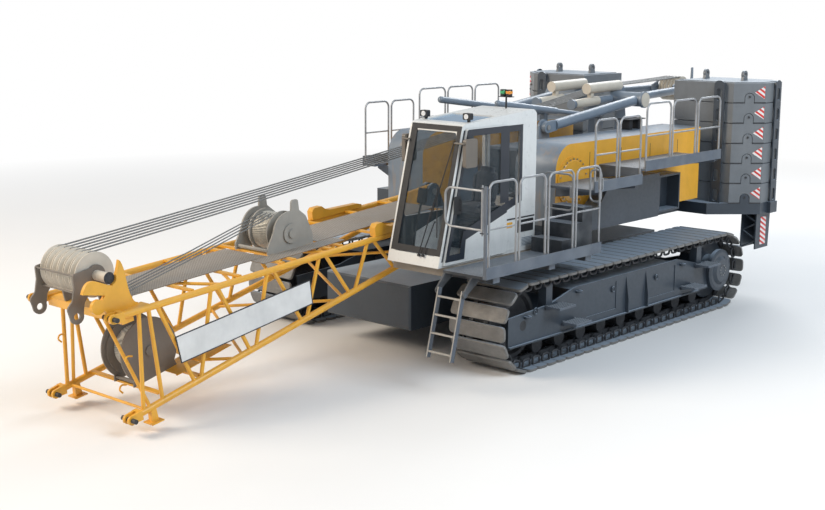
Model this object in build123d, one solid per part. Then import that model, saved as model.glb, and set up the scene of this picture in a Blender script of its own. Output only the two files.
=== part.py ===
from build123d import *
import math
import os

# A lattice-boom crane on tracks. All sizes in mm. +X is forward, +Y is the cab
# side, +Z is up, and the slewing axis meets the ground at the origin.
os.makedirs("parts", exist_ok=True)

# Gaps
CLEAR = 0.3            # between curved faces of different pieces
SEAT = 0.5             # between a pane or slab and what it sits in
SWING = 8.0            # beside a piece that swings or turns

# Tracks
TRACK_LENGTH = 8160.0
TRACK_HEIGHT = 1570.0
TRACK_GAUGE = 5190.0
SHOE_WIDTH = 1200.0
SHOE_THICK = 50.0
SHOE_COUNT = 62
SHOE_GAP = 17.0
SHOE_CORNER = 60.0
CHAIN_THICK = 110.0
CHAIN_WIDTH = 420.0
ROLLER_R = 150.0
ROLLER_HALF = 230.0
ROLLER_COUNT = 9
CARRIER_R = 110.0
CARRIER_HALF = 150.0
WHEEL_HALF = 170.0
IDLER_AXLE_R = 90.0
DRIVE_R = 430.0
DRIVE_HUB_R = 300.0
DRIVE_OUT = 145.0      # how far the final drive stands out from the side frame

TRACK_R = TRACK_HEIGHT / 2
CHAIN_OUT_R = TRACK_R - SHOE_THICK
CHAIN_IN_R = CHAIN_OUT_R - CHAIN_THICK
WHEEL_X = TRACK_LENGTH / 2 - TRACK_R
TRACK_Y = TRACK_GAUGE / 2
SHOE_PITCH = (4 * WHEEL_X + 2 * math.pi * CHAIN_OUT_R) / SHOE_COUNT
WHEEL_R = CHAIN_OUT_R * math.cos(SHOE_PITCH / CHAIN_OUT_R / 2) - CHAIN_THICK - CLEAR

# Side frames, lashing eyes and steps
FRAME_PLATE = 40.0
SIDE_FRAME_HALF = 400.0
SIDE_FRAME_Z0 = 450.0
SIDE_FRAME_Z1 = 1220.0
SIDE_FRAME_NOSE = 410.0    # how far the plates run past the wheels' axes
SIDE_FRAME_DROP = 190.0    # how far the top edge drops towards the ends
SIDE_FRAME_KNEE = 740.0
CORE_Z0 = 500.0
LIP_WIDE = 45.0
LIP_THICK = 25.0
RIB_WIDE = 70.0
RIB_THICK = 24.0
RIB_PLACES = (-590.0, 90.0)
LASHING_R = 70.0
LASHING_BORE = 30.0
STEP_LONG = 480.0
STEP_DEEP = 300.0
STEP_THICK = 36.0
STEP_ARM = 50.0
STEP_LOW_Z = 630.0
STEP_HIGH_Z = 1000.0

# Carbody and slewing ring
CARBODY_HALF = 1500.0
CARBODY_Z0 = 560.0
CARBODY_Z1 = 1300.0
BEAM_X = 1150.0
BEAM_WIDE = 700.0
BALLAST_X1 = 4030.0
BALLAST_HALF = 1050.0
BALLAST_Z0 = 490.0
BALLAST_Z1 = 1300.0
BALLAST_EDGE = 30.0
RING_OUT_R = 1300.0
RING_IN_R = 1050.0
RING_SPLIT_Z = 1480.0

# Turning frame
FRAME_X0 = -4300.0
FRAME_X1 = 1900.0
FRAME_HALF = 1550.0
FRAME_Z0 = 1760.0
FRAME_Z1 = 2180.0
TAIL_RISE = 250.0
CHEEK_THICK = 60.0

# Boom, in its own frame: x runs from the foot pin to the head, z is square to it
BOOM_PIN_X = 1200.0
BOOM_PIN_Z = 2500.0
BOOM_REST = -9.3       # degrees from level as it is parked
BOOM_LENGTH = 9050.0
BOOM_HALF = 970.0
FOOT_DEEP = 40.0
HEAD_DEEP = 785.0
CHORD_R = 52.0
LACE_R = 32.0
FACE_LACE_R = 26.0
BRACE_R = 28.0
PANEL_COUNT = 6
NODE_SPREAD = 60.0
CHORD_START = 760.0
FOOT_BAY = 710.0       # from the chords' start to the first lacing node
HEAD_BAY = 550.0       # from the last lacing node to the head lugs
LUG_LENGTH = 190.0
LUG_HALF = 75.0
LUG_PLATE = 40.0
LUG_R = 70.0
FOOT_THICK = 80.0
FOOT_R = 135.0
FOOT_BORE = 62.0
HEAD_BORE = 36.0
PIN_LENGTH = 330.0
BEARER_Z0 = FACE_LACE_R + 1.0
BEARER_Z1 = 62.0
BEARER_LONG = 70.0
BEARER_HALF = BOOM_HALF - LACE_R - 2.0
DECK_PLATE = 12.0
DECK_LEFT = 430.0
DECK_RIGHT = 560.0
SIDE_DECK_Y0 = 450.0
SIDE_DECK_Y1 = 760.0
SIDE_DECK_OVER = 400.0  # how far the side deck runs past the upper winch
DECK_START = 690.0     # from the chords' start to the rear deck
DECK_END = 300.0       # from the front deck to the head lugs
LUG_START = BOOM_LENGTH - LUG_LENGTH
LAST_NODE = LUG_START - HEAD_BAY
PANEL = (LAST_NODE - CHORD_START - FOOT_BAY) / PANEL_COUNT
STAND_S = LUG_START - 220.0
STAND_HIGH = 180.0

# Upper winch, lower winch and head block
UPPER_WINCH_S = 5060.0
UPPER_WINCH_H = 330.0
UPPER_WINCH_HALF = 380.0
UPPER_WINCH_BACK = 500.0
UPPER_WINCH_FRONT = 520.0
UPPER_WINCH_EAR = 870.0
UPPER_CHEEK_R = 370.0
UPPER_DRUM_R = 215.0
UPPER_FLANGE_R = 285.0
UPPER_AXLE_R = 70.0
WINCH_PLATE = 30.0
WINCH_GAP = 80.0       # from a winch's foot to the deck beside it
LOWER_WINCH_S = LUG_START - 830.0
LOWER_WINCH_H = 500.0
LOWER_WINCH_Y = 30.0
LOWER_WINCH_HALF = 230.0
LOWER_WINCH_FOOT = 420.0
LOWER_CHEEK_R = 520.0
LOWER_FLANGE_R = 450.0
LOWER_DRUM_R = 300.0
LOWER_AXLE_R = 80.0
BLOCK_S = LUG_START - 20.0
BLOCK_H = 1305.0
BLOCK_HALF = 450.0
BLOCK_LOBE_R = 115.0
BLOCK_LOBE_S = 435.0
BLOCK_LOBE_DROP = 490.0   # from the axle down to the plates' lower eyes
SHEAVE_R = 335.0
SHEAVE_GROOVE = 42.0
SHEAVE_COUNT = 6
AXLE_R = 75.0
HUB_TUBE = 330.0
GUARD_R = 14.0
GUARD_OFF = 40.0       # from the sheaves' rims to the guard bars
GUARD_TURNS = (15.0, -30.0)
BEAM_DEEP = 130.0
BEAM_BACK = 190.0
BEAM_FRONT = 10.0
FIN_Y = 160.0          # from the chord to the middle of a fin
FIN_THICK = 60.0
FIN_EYE_R = 110.0
FIN_HIGH = 758.0
FIN_BACK = 507.0       # from the sheaves' axle back to a fin's rear end

# Cab
CAB_Y0 = 1320.0
CAB_Y1 = 2500.0
CAB_Z0 = 1940.0
CAB_FRONT_X = 4900.0
CAB_TOP_X = 4310.0
CAB_TOP_Z = 4255.0
CAB_REAR_X = 2290.0
CAB_REAR_Z = 4410.0
CAB_ROUND = 130.0
CAB_WALL = 60.0
PANE_ROUND = 60.0
PILLAR = 95.0
DOOR_THICK = 45.0
DOOR_GAP = 5.0
DOOR_X0 = 3160.0
DOOR_EDGE = 60.0
GLASS = 8.0
CAB_BASE_Z0 = 1790.0
SILL_REAR_X = 2730.0   # the side windows' lower edge rises from the front to the rear
SILL_REAR_Z = 2840.0
SILL_FRONT_X = 4340.0
SILL_FRONT_Z = 2350.0
SILL_LOW_Z = 2030.0
SEAT_X = 3000.0
SEAT_Z = 2500.0
SEAT_LONG = 520.0
SEAT_HALF = 260.0
SEAT_THICK = 120.0
SEAT_BACK_HIGH = 780.0
CONSOLE_HIGH = 260.0
CONSOLE_WIDE = 130.0
CONSOLE_Y = 290.0
MIRROR_X = 4420.0
MIRROR_Z = 3560.0
MIRROR_WIDE = 300.0
MIRROR_HIGH = 470.0
MIRROR_THICK = 70.0
MIRROR_OUT = 45.0      # from the door's face to the mirror
MIRROR_ARM_R = 16.0
LAMP_WIDE = 150.0
LAMP_HIGH = 110.0
LAMP_DEEP = 90.0
LAMP_POST = 40.0
BEACON_X = 2530.0
BEACON_Y = 1950.0
BEACON_HIGH = 330.0

# Walkways
PLATFORM_X0 = 1680.0
PLATFORM_X1 = CAB_FRONT_X
PLATFORM_Y1 = 3460.0
PLATFORM_Z = CAB_Z0
PLATFORM_GAP = 60.0
DECK_THICK = 45.0
TOE_HIGH = 150.0
TOE_THICK = 12.0
LOW_RAIL_Z = 3440.0
LOW_RAIL_COUNT = 4
LEFT_WALK_Y = 3200.0
RIGHT_WALK_Y = 2500.0
STEP_LEVELS = [(0.0, 1550.0, 2960.0, 4190.0, 2), (-2880.0, -100.0, 3190.0, 4390.0, 3)]
RAIL_R = 19.0
RAIL_BEND = 130.0
RAIL_IN = 40.0         # from a walkway's edge to its rail
RAIL_FOOT = 38.0
STAIR_COUNT = 3
STAIR_LONG = 300.0

# Housings
HOOD_X0 = -3950.0
HOOD_X1 = 1210.0
HOOD_Y0 = 1160.0
HOOD_Y1 = 2100.0
HOOD_Z1 = 3640.0
HOOD_WALL = 50.0
HOOD_ROUND = 480.0
LEDGE = 60.0
COVER_X = 710.0
COVER_Z = 2940.0
COVER_R = 460.0
COVER_THICK = 45.0
TANK_X1 = 1200.0
TANK_KNEE_X = -150.0
TANK_X0 = -1870.0
TANK_Y1 = 2420.0
TANK_Z0 = 2010.0
TANK_LOW_Z1 = 2420.0
TANK_Z1 = 2880.0
BOX_X0 = -2670.0
BOX_WALL = 40.0
ENGINE_X0 = -2900.0
ENGINE_X1 = -700.0
ENGINE_HIGH = 1120.0
ENGINE_GAP = 130.0
MIDDLE_X0 = -3900.0
MIDDLE_X1 = -350.0
MIDDLE_HALF = 820.0
MIDDLE_Z1 = 3300.0

# Counterweight
WEIGHT_X0 = -5900.0
WEIGHT_X1 = -4370.0
WEIGHT_Y0 = 1180.0
WEIGHT_Y1 = 3100.0
WEIGHT_Z0 = 2010.0
WEIGHT_BASE_Z0 = 1770.0
SLAB_COUNT = 6
SLAB_HIGH = 427.0
SLAB_JOINT = 16.0
WEIGHT_CHAMFER = 490.0
WEIGHT_BACK_CHAMFER = 350.0
TONGUE_WIDE = 190.0
TONGUE_HIGH = 250.0
TONGUE_DEEP = 60.0
TONGUE_GAP = 12.0
TONGUE_ROOT = 40.0
SLAB_INSET = 90.0
BASE_LIP = 330.0       # how far the base runs forward under the guide strips
GUIDE_WIDE = 240.0
GUIDE_PLATE = 30.0
GUIDE_RISE = 30.0
GUIDE_Y = 2200.0
GUIDE_SIDE_X = -5420.0
SLOT_WIDE = 120.0
SLOT_HIGH = 250.0
EYE_R = 90.0
EYE_BORE = 45.0
EYE_THICK = 60.0
EYE_RISE = 120.0
LEG_X0 = -5450.0
LEG_X1 = -4850.0
LEG_Y0 = 2680.0
LEG_Y1 = 3040.0
LEG_Z0 = 1000.0
LEG_PLATE = 24.0
LEG_BAR_R = 18.0

# Gantry
GANTRY_PIN_X = 100.0
GANTRY_PIN_Z = 3830.0
GANTRY_PIN_R = 50.0
GANTRY_Y = 1050.0
GANTRY_LEG_R = 100.0
GANTRY_EYE_R = 110.0
GANTRY_EYE_HALF = 50.0
SUPPORT_R = 150.0
SUPPORT_THICK = 50.0
CROSS_X = -3120.0
CROSS_Z = 4200.0
CROSS_R = 150.0
CROSS_HALF = 1180.0
STRUT_R = 85.0
STRUT_Y = 450.0
STRUT_LONG = 1500.0
STRUT_CAP = 60.0
GANTRY_HEAD_X = -6300.0
GANTRY_HEAD_Z = 4240.0
GANTRY_HEAD_HALF = 350.0
GANTRY_SHEAVE_R = 280.0
GANTRY_SHEAVES = 5
GANTRY_SHEAVE_PITCH = 95.0
GANTRY_AXLE_R = 60.0
HEAD_PLATE = 30.0
HEAD_HOLE_R = 55.0
MAST_HIGH = 480.0
MAST_WIDE = 90.0

# Rope guide and backstops
GUIDE_X = -3520.0
GUIDE_Z = 4280.0
GUIDE_HALF = 330.0
GUIDE_R = 140.0
GUIDE_AXLE_R = 45.0
GUIDE_EAR_R = 185.0
STOP_TIP_X = 1190.0
STOP_TIP_Z = 4330.0
STOP_Y = 710.0
STOP_REAR_X = -2200.0
STOP_REAR_Z = 3880.0
STOP_R = 48.0
STOP_BARREL_R = 66.0
STOP_BARREL = 0.55     # share of a backstop that is its thicker barrel
STOP_POST = 120.0

# Ladder and gate
LADDER_PIN_X = PLATFORM_X1 + 160.0
LADDER_PIN_Z = 1640.0
LADDER_PIN_R = 20.0
LADDER_Y0 = 2610.0
LADDER_Y1 = 3130.0
LADDER_REACH = 270.0
LADDER_DROP = 1070.0
LADDER_STILE = 90.0
LADDER_PLATE = 25.0
LADDER_LUG = 32.0
RUNG_COUNT = 4
RUNG_THICK = 30.0
GATE_X = PLATFORM_X1 - 30.0
GATE_POST_Y = PLATFORM_Y1 - 120.0
GATE_PIN_R = 15.0
GATE_Z0 = PLATFORM_Z + 740.0
GATE_Z1 = PLATFORM_Z + 1370.0
GATE_END_Y = 2570.0
GATE_POST = 50.0

boom_place = Pos(BOOM_PIN_X, 0, BOOM_PIN_Z) * Rot(0, -BOOM_REST, 0)
chord_rise = (HEAD_DEEP - FOOT_DEEP) / BOOM_LENGTH
chord_angle = math.degrees(math.atan(chord_rise))
top_place = boom_place * Pos(0, 0, FOOT_DEEP) * Rot(0, -chord_angle, 0)
floor_place = boom_place * Pos(0, 0, -FOOT_DEEP) * Rot(0, chord_angle, 0)


def save(node, *shapes):
    """Write the solids of one node to its own file."""
    solids = [solid for shape in shapes for solid in shape.solids()]
    export_step(Compound(solids), f"parts/{node}.step")


def block(x0, x1, y0, y1, z0, z1):
    """A box between two corners."""
    middle = ((x0 + x1) / 2, (y0 + y1) / 2, (z0 + z1) / 2)
    return Pos(*middle) * Box(x1 - x0, y1 - y0, z1 - z0)


def bar(start, end, radius):
    """A round bar between two points."""
    start = Vector(*start)
    end = Vector(*end)
    along = Plane(origin=start, z_dir=end - start)
    low = (Align.CENTER, Align.CENTER, Align.MIN)
    return along * Cylinder(radius, (end - start).length, align=low)


def drum(x, z, y0, y1, radius):
    """A round disc or drum on an axis across the machine."""
    return bar((x, y0, z), (x, y1, z), radius)


def turned(x, y, z, profile):
    """A turned piece on an axis across the machine, from its (radius, y) profile."""
    face = Polygon(*profile, align=None)
    return Pos(x, y, z) * revolve(face, axis=Axis.Y)


def through(face, y0, y1):
    """A side-view face turned into a solid from y0 to y1."""
    return extrude(Plane.XZ.offset(-y1) * face, amount=y1 - y0, dir=(0, -1, 0))


def side_plate(points, y0, y1):
    """A plate cut to a side-view outline, from y0 to y1."""
    return through(Polygon(*points, align=None), y0, y1)


def cross_plate(points, x0, x1):
    """A plate cut to an end-view outline of (y, z) points, from x0 to x1."""
    face = Plane.YZ.offset(x0) * Polygon(*points, align=None)
    return extrude(face, amount=x1 - x0, dir=(1, 0, 0))


def flat_plate(points, z0, z1):
    """A plate cut to a plan outline, from z0 to z1."""
    face = Plane.XY.offset(z0) * Polygon(*points, align=None)
    return extrude(face, amount=z1 - z0, dir=(0, 0, 1))


def rounded(points, corners):
    """A flat outline with some corners rounded: corners gives (index, radius) pairs."""
    face = Polygon(*points, align=None)
    for index, radius in corners:
        x, z = points[index]
        near = [v for v in face.vertices() if math.hypot(v.X - x, v.Y - z) < 1]
        face = fillet(near, radius)
    return face


def both_sides(shape):
    """A shape and its twin on the other side of the machine."""
    return [shape, mirror(shape, about=Plane.XZ)]


def largest(shape):
    """The largest solid of a shape, when a cut has left scraps."""
    return max(shape.solids(), key=lambda solid: solid.volume)


def coped(shape, cutters):
    """A shape cut to sit against the tubes that it meets."""
    for cutter in cutters:
        shape = shape - cutter
    return largest(shape)


def eye_plate(x, z, radius, bore, stem, y0, y1):
    """A plate that ends in a round eye, on a stem given by its outline."""
    plate = side_plate(stem, y0, y1) + drum(x, z, y0, y1, radius)
    return plate - drum(x, z, y0 - 1, y1 + 1, bore)


def hoop(start, end, z0, z1):
    """A handrail hoop with rounded top corners, one middle rail and foot plates."""
    start = Vector(*start)
    end = Vector(*end)
    up = Vector(0, 0, 1)
    corners = [start + up * z0, start + up * z1, end + up * z1, end + up * z0]
    path = FilletPolyline(*corners, radius=RAIL_BEND)
    rail = sweep((path ^ 0) * Circle(RAIL_R), path=path)
    middle = (z0 + z1) / 2
    rail += bar(start + up * middle, end + up * middle, RAIL_R * 0.8)
    for foot in (start, end):
        x, y = foot.X, foot.Y
        rail += block(x - RAIL_FOOT, x + RAIL_FOOT, y - RAIL_R, y + RAIL_R, z0, z0 + RAIL_FOOT)
    return rail


def loop_point(distance):
    """A point on the outside of the chain loop, measured forward from its top middle."""
    radius = CHAIN_OUT_R
    arc = math.pi * radius
    if distance < WHEEL_X:
        return distance, radius
    distance -= WHEEL_X
    if distance < arc:
        turn = distance / radius
        return WHEEL_X + radius * math.sin(turn), radius * math.cos(turn)
    distance -= arc
    if distance < 2 * WHEEL_X:
        return WHEEL_X - distance, -radius
    distance -= 2 * WHEEL_X
    if distance < arc:
        turn = distance / radius
        return -WHEEL_X - radius * math.sin(turn), -radius * math.cos(turn)
    return distance - arc - WHEEL_X, radius


def track():
    """The chain loop of the cab side with one shoe on each of its links."""
    joints = [loop_point(index * SHOE_PITCH) for index in range(SHOE_COUNT)]
    outside = Polygon(*joints, align=None)
    inside = offset(outside, amount=-CHAIN_THICK, kind=Kind.INTERSECTION)
    loop = through(outside - inside, -CHAIN_WIDTH / 2, CHAIN_WIDTH / 2)
    half_long = (SHOE_PITCH - SHOE_GAP) / 2
    half_wide = SHOE_WIDTH / 2
    corner = SHOE_CORNER
    outline = [(half_long, half_wide - corner), (half_long - corner, half_wide)]
    outline += [(-x, y) for x, y in reversed(outline)]
    outline += [(-x, -y) for x, y in outline]
    shoe = flat_plate(outline, 0, SHOE_THICK)
    shoes = []
    for first, second in zip(joints, joints[1:] + joints[:1]):
        run_x = second[0] - first[0]
        run_z = second[1] - first[1]
        turn = math.degrees(math.atan2(-run_z, run_x))
        place = Pos((first[0] + second[0]) / 2, 0, (first[1] + second[1]) / 2)
        shoes.append(place * Rot(0, turn, 0) * shoe)
    return Pos(0, TRACK_Y, TRACK_R) * loop.fuse(*shoes)


def idler():
    """The front wheel of the cab-side track, with a dished web on both faces."""
    half = WHEEL_HALF
    rim = WHEEL_R - 70
    hub = IDLER_AXLE_R + 100
    end = SIDE_FRAME_HALF
    side = [(IDLER_AXLE_R, half), (hub, half), (hub + 30, half - 60), (rim - 40, half - 60), (rim, half)]
    profile = [(0, end), (IDLER_AXLE_R, end)] + side + [(WHEEL_R, half)]
    profile += [(radius, -y) for radius, y in reversed(profile)]
    return turned(WHEEL_X, TRACK_Y, TRACK_R, profile)


def sprocket():
    """The rear wheel of the cab-side track with its stepped final drive."""
    half = WHEEL_HALF
    plate = SIDE_FRAME_HALF + CLEAR
    end = SIDE_FRAME_HALF + DRIVE_OUT
    profile = [(0, -SIDE_FRAME_HALF), (IDLER_AXLE_R, -SIDE_FRAME_HALF)]
    profile += [(IDLER_AXLE_R, -half), (WHEEL_R, -half)]
    profile += [(WHEEL_R, half), (DRIVE_HUB_R, half), (DRIVE_HUB_R, plate), (DRIVE_R, plate)]
    profile += [(DRIVE_R, end - 70), (DRIVE_R - 60, end - 50)]
    profile += [(DRIVE_HUB_R, end - 50), (DRIVE_HUB_R - 60, end)]
    profile += [(0, end)]
    return turned(-WHEEL_X, TRACK_Y, TRACK_R, profile)


def side_frame():
    """The frame inside the cab-side track: two shaped plates on a box, with ribs and eyes."""
    y0 = TRACK_Y - SIDE_FRAME_HALF
    y1 = TRACK_Y + SIDE_FRAME_HALF
    nose = WHEEL_X + SIDE_FRAME_NOSE
    knee = WHEEL_X - SIDE_FRAME_KNEE
    low = SIDE_FRAME_Z1 - SIDE_FRAME_DROP
    flat = knee - 800
    top = [(nose, low - 60), (knee, low), (flat, SIDE_FRAME_Z1)]
    points = [(-nose, SIDE_FRAME_Z0), (nose, SIDE_FRAME_Z0)] + top + [(-x, z) for x, z in reversed(top)]
    face = rounded(points, [(3, 300), (4, 300), (5, 300), (6, 300)])
    frame = through(face, y1 - FRAME_PLATE, y1) + through(face, y0, y0 + FRAME_PLATE)
    frame += block(-flat, flat, y0, y1 - FRAME_PLATE, CORE_Z0, SIDE_FRAME_Z1 - 60)
    for x in (-knee, knee):
        post_y = TRACK_Y + CHAIN_WIDTH / 2 + 25
        frame += block(x - 90, x + 90, post_y, y1, low - 150, TRACK_R + CHAIN_IN_R - 10)
    frame += block(-knee, nose, y1, y1 + LIP_WIDE, SIDE_FRAME_Z0, SIDE_FRAME_Z0 + LIP_THICK)
    for x in RIB_PLACES:
        root = SIDE_FRAME_Z0 + LIP_THICK
        rib = [(y1, root), (y1 + RIB_WIDE, root), (y1 + RIB_WIDE, root + 240), (y1, SIDE_FRAME_Z1 - 40)]
        frame += cross_plate(rib, x, x + RIB_THICK)
    for x0 in (-flat + 110, 440):
        frame -= block(x0, x0 + 960, y1 - RIB_THICK / 2, y1 + 1, CORE_Z0 + 100, SIDE_FRAME_Z1 - 100)
    eyes = [(nose - 500, low - 110), (flat - 60, SIDE_FRAME_Z1 - 90), (-flat - 120, SIDE_FRAME_Z1 - 120)]
    for x, z in eyes:
        eye = Cylinder(LASHING_R, FRAME_PLATE) - Cylinder(LASHING_BORE, 2 * FRAME_PLATE)
        frame += Pos(x, y1 + LASHING_BORE, z) * eye - block(x - 200, x + 200, y0, y1 - FRAME_PLATE, 0, 2000)
    for x, radius in ((WHEEL_X, IDLER_AXLE_R), (-WHEEL_X, IDLER_AXLE_R)):
        frame -= drum(x, TRACK_R, y0 - 1, y0 + FRAME_PLATE + 1, radius + CLEAR)
    frame -= drum(WHEEL_X, TRACK_R, y1 - FRAME_PLATE - 1, y1 + 1, IDLER_AXLE_R + CLEAR)
    frame -= drum(-WHEEL_X, TRACK_R, y1 - FRAME_PLATE - 1, y1 + 1, DRIVE_HUB_R + CLEAR)
    return frame


def rollers():
    """Bottom and top rollers of the cab-side track."""
    reach = WHEEL_X - WHEEL_R - ROLLER_R + 120
    bottom_z = TRACK_R - CHAIN_IN_R + ROLLER_R + CLEAR
    top_z = TRACK_R + CHAIN_IN_R - CARRIER_R - CLEAR
    pieces = []
    for index in range(ROLLER_COUNT):
        x = -reach + 2 * reach * index / (ROLLER_COUNT - 1)
        pieces.append(drum(x, bottom_z, TRACK_Y - ROLLER_HALF, TRACK_Y + ROLLER_HALF, ROLLER_R))
    knee = WHEEL_X - SIDE_FRAME_KNEE
    post_y = TRACK_Y + CHAIN_WIDTH / 2 + 25
    for x in (-knee, knee):
        roller = drum(x, top_z, TRACK_Y - CARRIER_HALF, TRACK_Y + CARRIER_HALF, CARRIER_R)
        pieces.append(roller + drum(x, top_z, TRACK_Y, post_y, CARRIER_R / 2))
    return pieces


def track_steps():
    """Grating steps on arms outside the cab-side track frame, two at each end."""
    y1 = TRACK_Y + SIDE_FRAME_HALF
    knee = WHEEL_X - SIDE_FRAME_KNEE
    places = [(knee - 320, STEP_HIGH_Z), (knee - 830, STEP_LOW_Z)]
    places += [(-knee + 210, STEP_HIGH_Z), (-knee + 720, STEP_LOW_Z)]
    steps = []
    for x, z in places:
        if x < 0:
            x -= STEP_LONG
        step = block(x, x + STEP_LONG, y1 + STEP_ARM, y1 + STEP_ARM + STEP_DEEP, z, z + STEP_THICK)
        for arm_x in (x + 40, x + STEP_LONG - 40 - STEP_ARM):
            arm = [(y1, z - 60), (y1 + STEP_ARM + STEP_DEEP * 0.6, z), (y1, z)]
            step += cross_plate(arm, arm_x, arm_x + STEP_ARM / 2)
            step += block(arm_x, arm_x + STEP_ARM, y1, y1 + STEP_ARM, z, z + STEP_THICK)
        steps.append(step)
    return steps


def undercarriage():
    """Everything that stays on the ground when the top slews."""
    left = track()
    save("track_left", left)
    save("track_right", mirror(left, about=Plane.XZ))
    save("track_frames", *both_sides(side_frame()))
    save("idlers", *both_sides(idler()))
    save("drive_sprockets", *both_sides(sprocket()))
    save("track_rollers", *[twin for piece in rollers() for twin in both_sides(piece)])
    save("track_steps", *[twin for step in track_steps() for twin in both_sides(step)])
    inner = TRACK_Y - SIDE_FRAME_HALF
    body = block(-CARBODY_HALF, CARBODY_HALF, -CARBODY_HALF, CARBODY_HALF, CARBODY_Z0, CARBODY_Z1)
    low = CARBODY_Z0 + 60
    for x in (-BEAM_X, BEAM_X):
        beam = [(-inner, low), (inner, low), (inner, CARBODY_Z1 - 240), (CARBODY_HALF, CARBODY_Z1 - 60)]
        beam += [(-CARBODY_HALF, CARBODY_Z1 - 60), (-inner, CARBODY_Z1 - 240)]
        body += cross_plate(beam, x - BEAM_WIDE / 2, x + BEAM_WIDE / 2)
    ring = Cylinder(RING_OUT_R, RING_SPLIT_Z - CARBODY_Z1) - Cylinder(RING_IN_R, RING_SPLIT_Z)
    body += Pos(0, 0, (RING_SPLIT_Z + CARBODY_Z1) / 2) * ring
    save("carbody", body)
    weight = block(CARBODY_HALF, BALLAST_X1, -BALLAST_HALF, BALLAST_HALF, BALLAST_Z0, BALLAST_Z1)
    weight = chamfer(weight.faces().sort_by(Axis.X)[-1].edges(), BALLAST_EDGE)
    save("carbody_ballast", weight, mirror(weight, about=Plane.YZ))


def turning_frame():
    """The welded frame that carries everything above the slewing ring."""
    frame = block(FRAME_X0, FRAME_X1, -FRAME_HALF, FRAME_HALF, FRAME_Z0, FRAME_Z1)
    tail = WEIGHT_Y0 - 130
    frame += block(WEIGHT_X0 + 100, FRAME_X0, -tail, tail, WEIGHT_Z0, FRAME_Z1 + TAIL_RISE)
    ring_z0 = RING_SPLIT_Z + SEAT
    ring = Cylinder(RING_OUT_R - 30, FRAME_Z0 - ring_z0) - Cylinder(RING_IN_R, FRAME_Z0)
    frame += Pos(0, 0, (FRAME_Z0 + ring_z0) / 2) * ring
    inner = BOOM_HALF - FOOT_THICK / 2 - SWING
    outer = BOOM_HALF + FOOT_THICK / 2 + SWING
    eye_r = FOOT_R + 35
    stem = [(BOOM_PIN_X - 330, FRAME_Z1), (BOOM_PIN_X + 330, FRAME_Z1)]
    stem += [(BOOM_PIN_X + eye_r, BOOM_PIN_Z), (BOOM_PIN_X - eye_r, BOOM_PIN_Z)]
    for y0 in (inner - CHEEK_THICK, outer):
        cheek = eye_plate(BOOM_PIN_X, BOOM_PIN_Z, eye_r, FOOT_BORE + CLEAR, stem, y0, y0 + CHEEK_THICK)
        for side in both_sides(cheek):
            frame += side
    save("turning_frame", frame)
    reach = FOOT_THICK / 2 + SWING + CHEEK_THICK + 25
    pins = drum(BOOM_PIN_X, BOOM_PIN_Z, BOOM_HALF - reach, BOOM_HALF + reach, FOOT_BORE)
    save("boom_foot_pins", *both_sides(pins))


def hood_face(inset):
    """Side view of a hood with its rounded front, drawn in by inset."""
    x0 = HOOD_X0 + inset
    x1 = HOOD_X1 - inset
    z1 = HOOD_Z1 - inset
    return rounded([(x0, FRAME_Z1), (x1, FRAME_Z1), (x1, z1), (x0, z1)], [(2, HOOD_ROUND - inset)])


def housings():
    """Hoods over the drives, side tanks, middle cover and the engine."""
    outside = through(hood_face(0), HOOD_Y0, HOOD_Y1)
    inside = through(hood_face(HOOD_WALL), HOOD_Y0 + HOOD_WALL, HOOD_Y1 - HOOD_WALL)
    ledge = block(HOOD_X0, HOOD_X1, FRAME_HALF, HOOD_Y1, FRAME_Z1 - LEDGE, FRAME_Z1)
    save("hoods", *both_sides(outside - inside + ledge))
    step = COVER_THICK * 0.6
    profile = [(0, 0), (COVER_R, 0), (COVER_R, step), (COVER_R - 60, step), (COVER_R - 80, COVER_THICK)]
    profile += [(0, COVER_THICK)]
    save("winch_covers", *both_sides(turned(COVER_X, HOOD_Y1, COVER_Z, profile)))
    outline = [(TANK_X0, TANK_Z0), (TANK_X1, TANK_Z0)]
    outline += [(TANK_X1, TANK_LOW_Z1), (TANK_KNEE_X + 400, TANK_LOW_Z1)]
    outline += [(TANK_KNEE_X, TANK_Z1), (TANK_X0, TANK_Z1)]
    tank = through(rounded(outline, [(3, 400), (4, 200)]), HOOD_Y1, TANK_Y1)
    tank += block(TANK_X0, TANK_X1, FRAME_HALF, HOOD_Y1, TANK_Z0, FRAME_Z1 - LEDGE)
    wall = BOX_WALL
    box_z1 = TANK_Z1 - 60
    box = block(BOX_X0, TANK_X0, HOOD_Y1, TANK_Y1, TANK_Z0 + 60, box_z1)
    room_z0 = TANK_Z0 + 60 + wall
    box -= block(BOX_X0 + wall, TANK_X0 - wall, HOOD_Y1 + wall, TANK_Y1 + 1, room_z0, box_z1 - wall)
    save("side_tanks", *both_sides(tank + box))
    engine_y = HOOD_Y1 - ENGINE_GAP
    top = FRAME_Z1 + ENGINE_HIGH
    save("engine", block(ENGINE_X0, ENGINE_X1, -engine_y, -HOOD_Y0 - ENGINE_GAP, FRAME_Z1, top))
    cover = block(MIDDLE_X0, MIDDLE_X1, -MIDDLE_HALF, MIDDLE_HALF, FRAME_Z1, MIDDLE_Z1)
    cover = chamfer(cover.faces().sort_by(Axis.Z)[-1].edges(), HOOD_WALL)
    save("middle_cover", cover)


def weight_outline():
    """Plan of one stack of slabs on the cab side."""
    points = [(WEIGHT_X1, WEIGHT_Y0), (WEIGHT_X1, WEIGHT_Y1 - WEIGHT_CHAMFER)]
    points += [(WEIGHT_X1 - WEIGHT_CHAMFER, WEIGHT_Y1), (WEIGHT_X0 + WEIGHT_BACK_CHAMFER, WEIGHT_Y1)]
    return points + [(WEIGHT_X0, WEIGHT_Y1 - WEIGHT_BACK_CHAMFER), (WEIGHT_X0, WEIGHT_Y0)]


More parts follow.
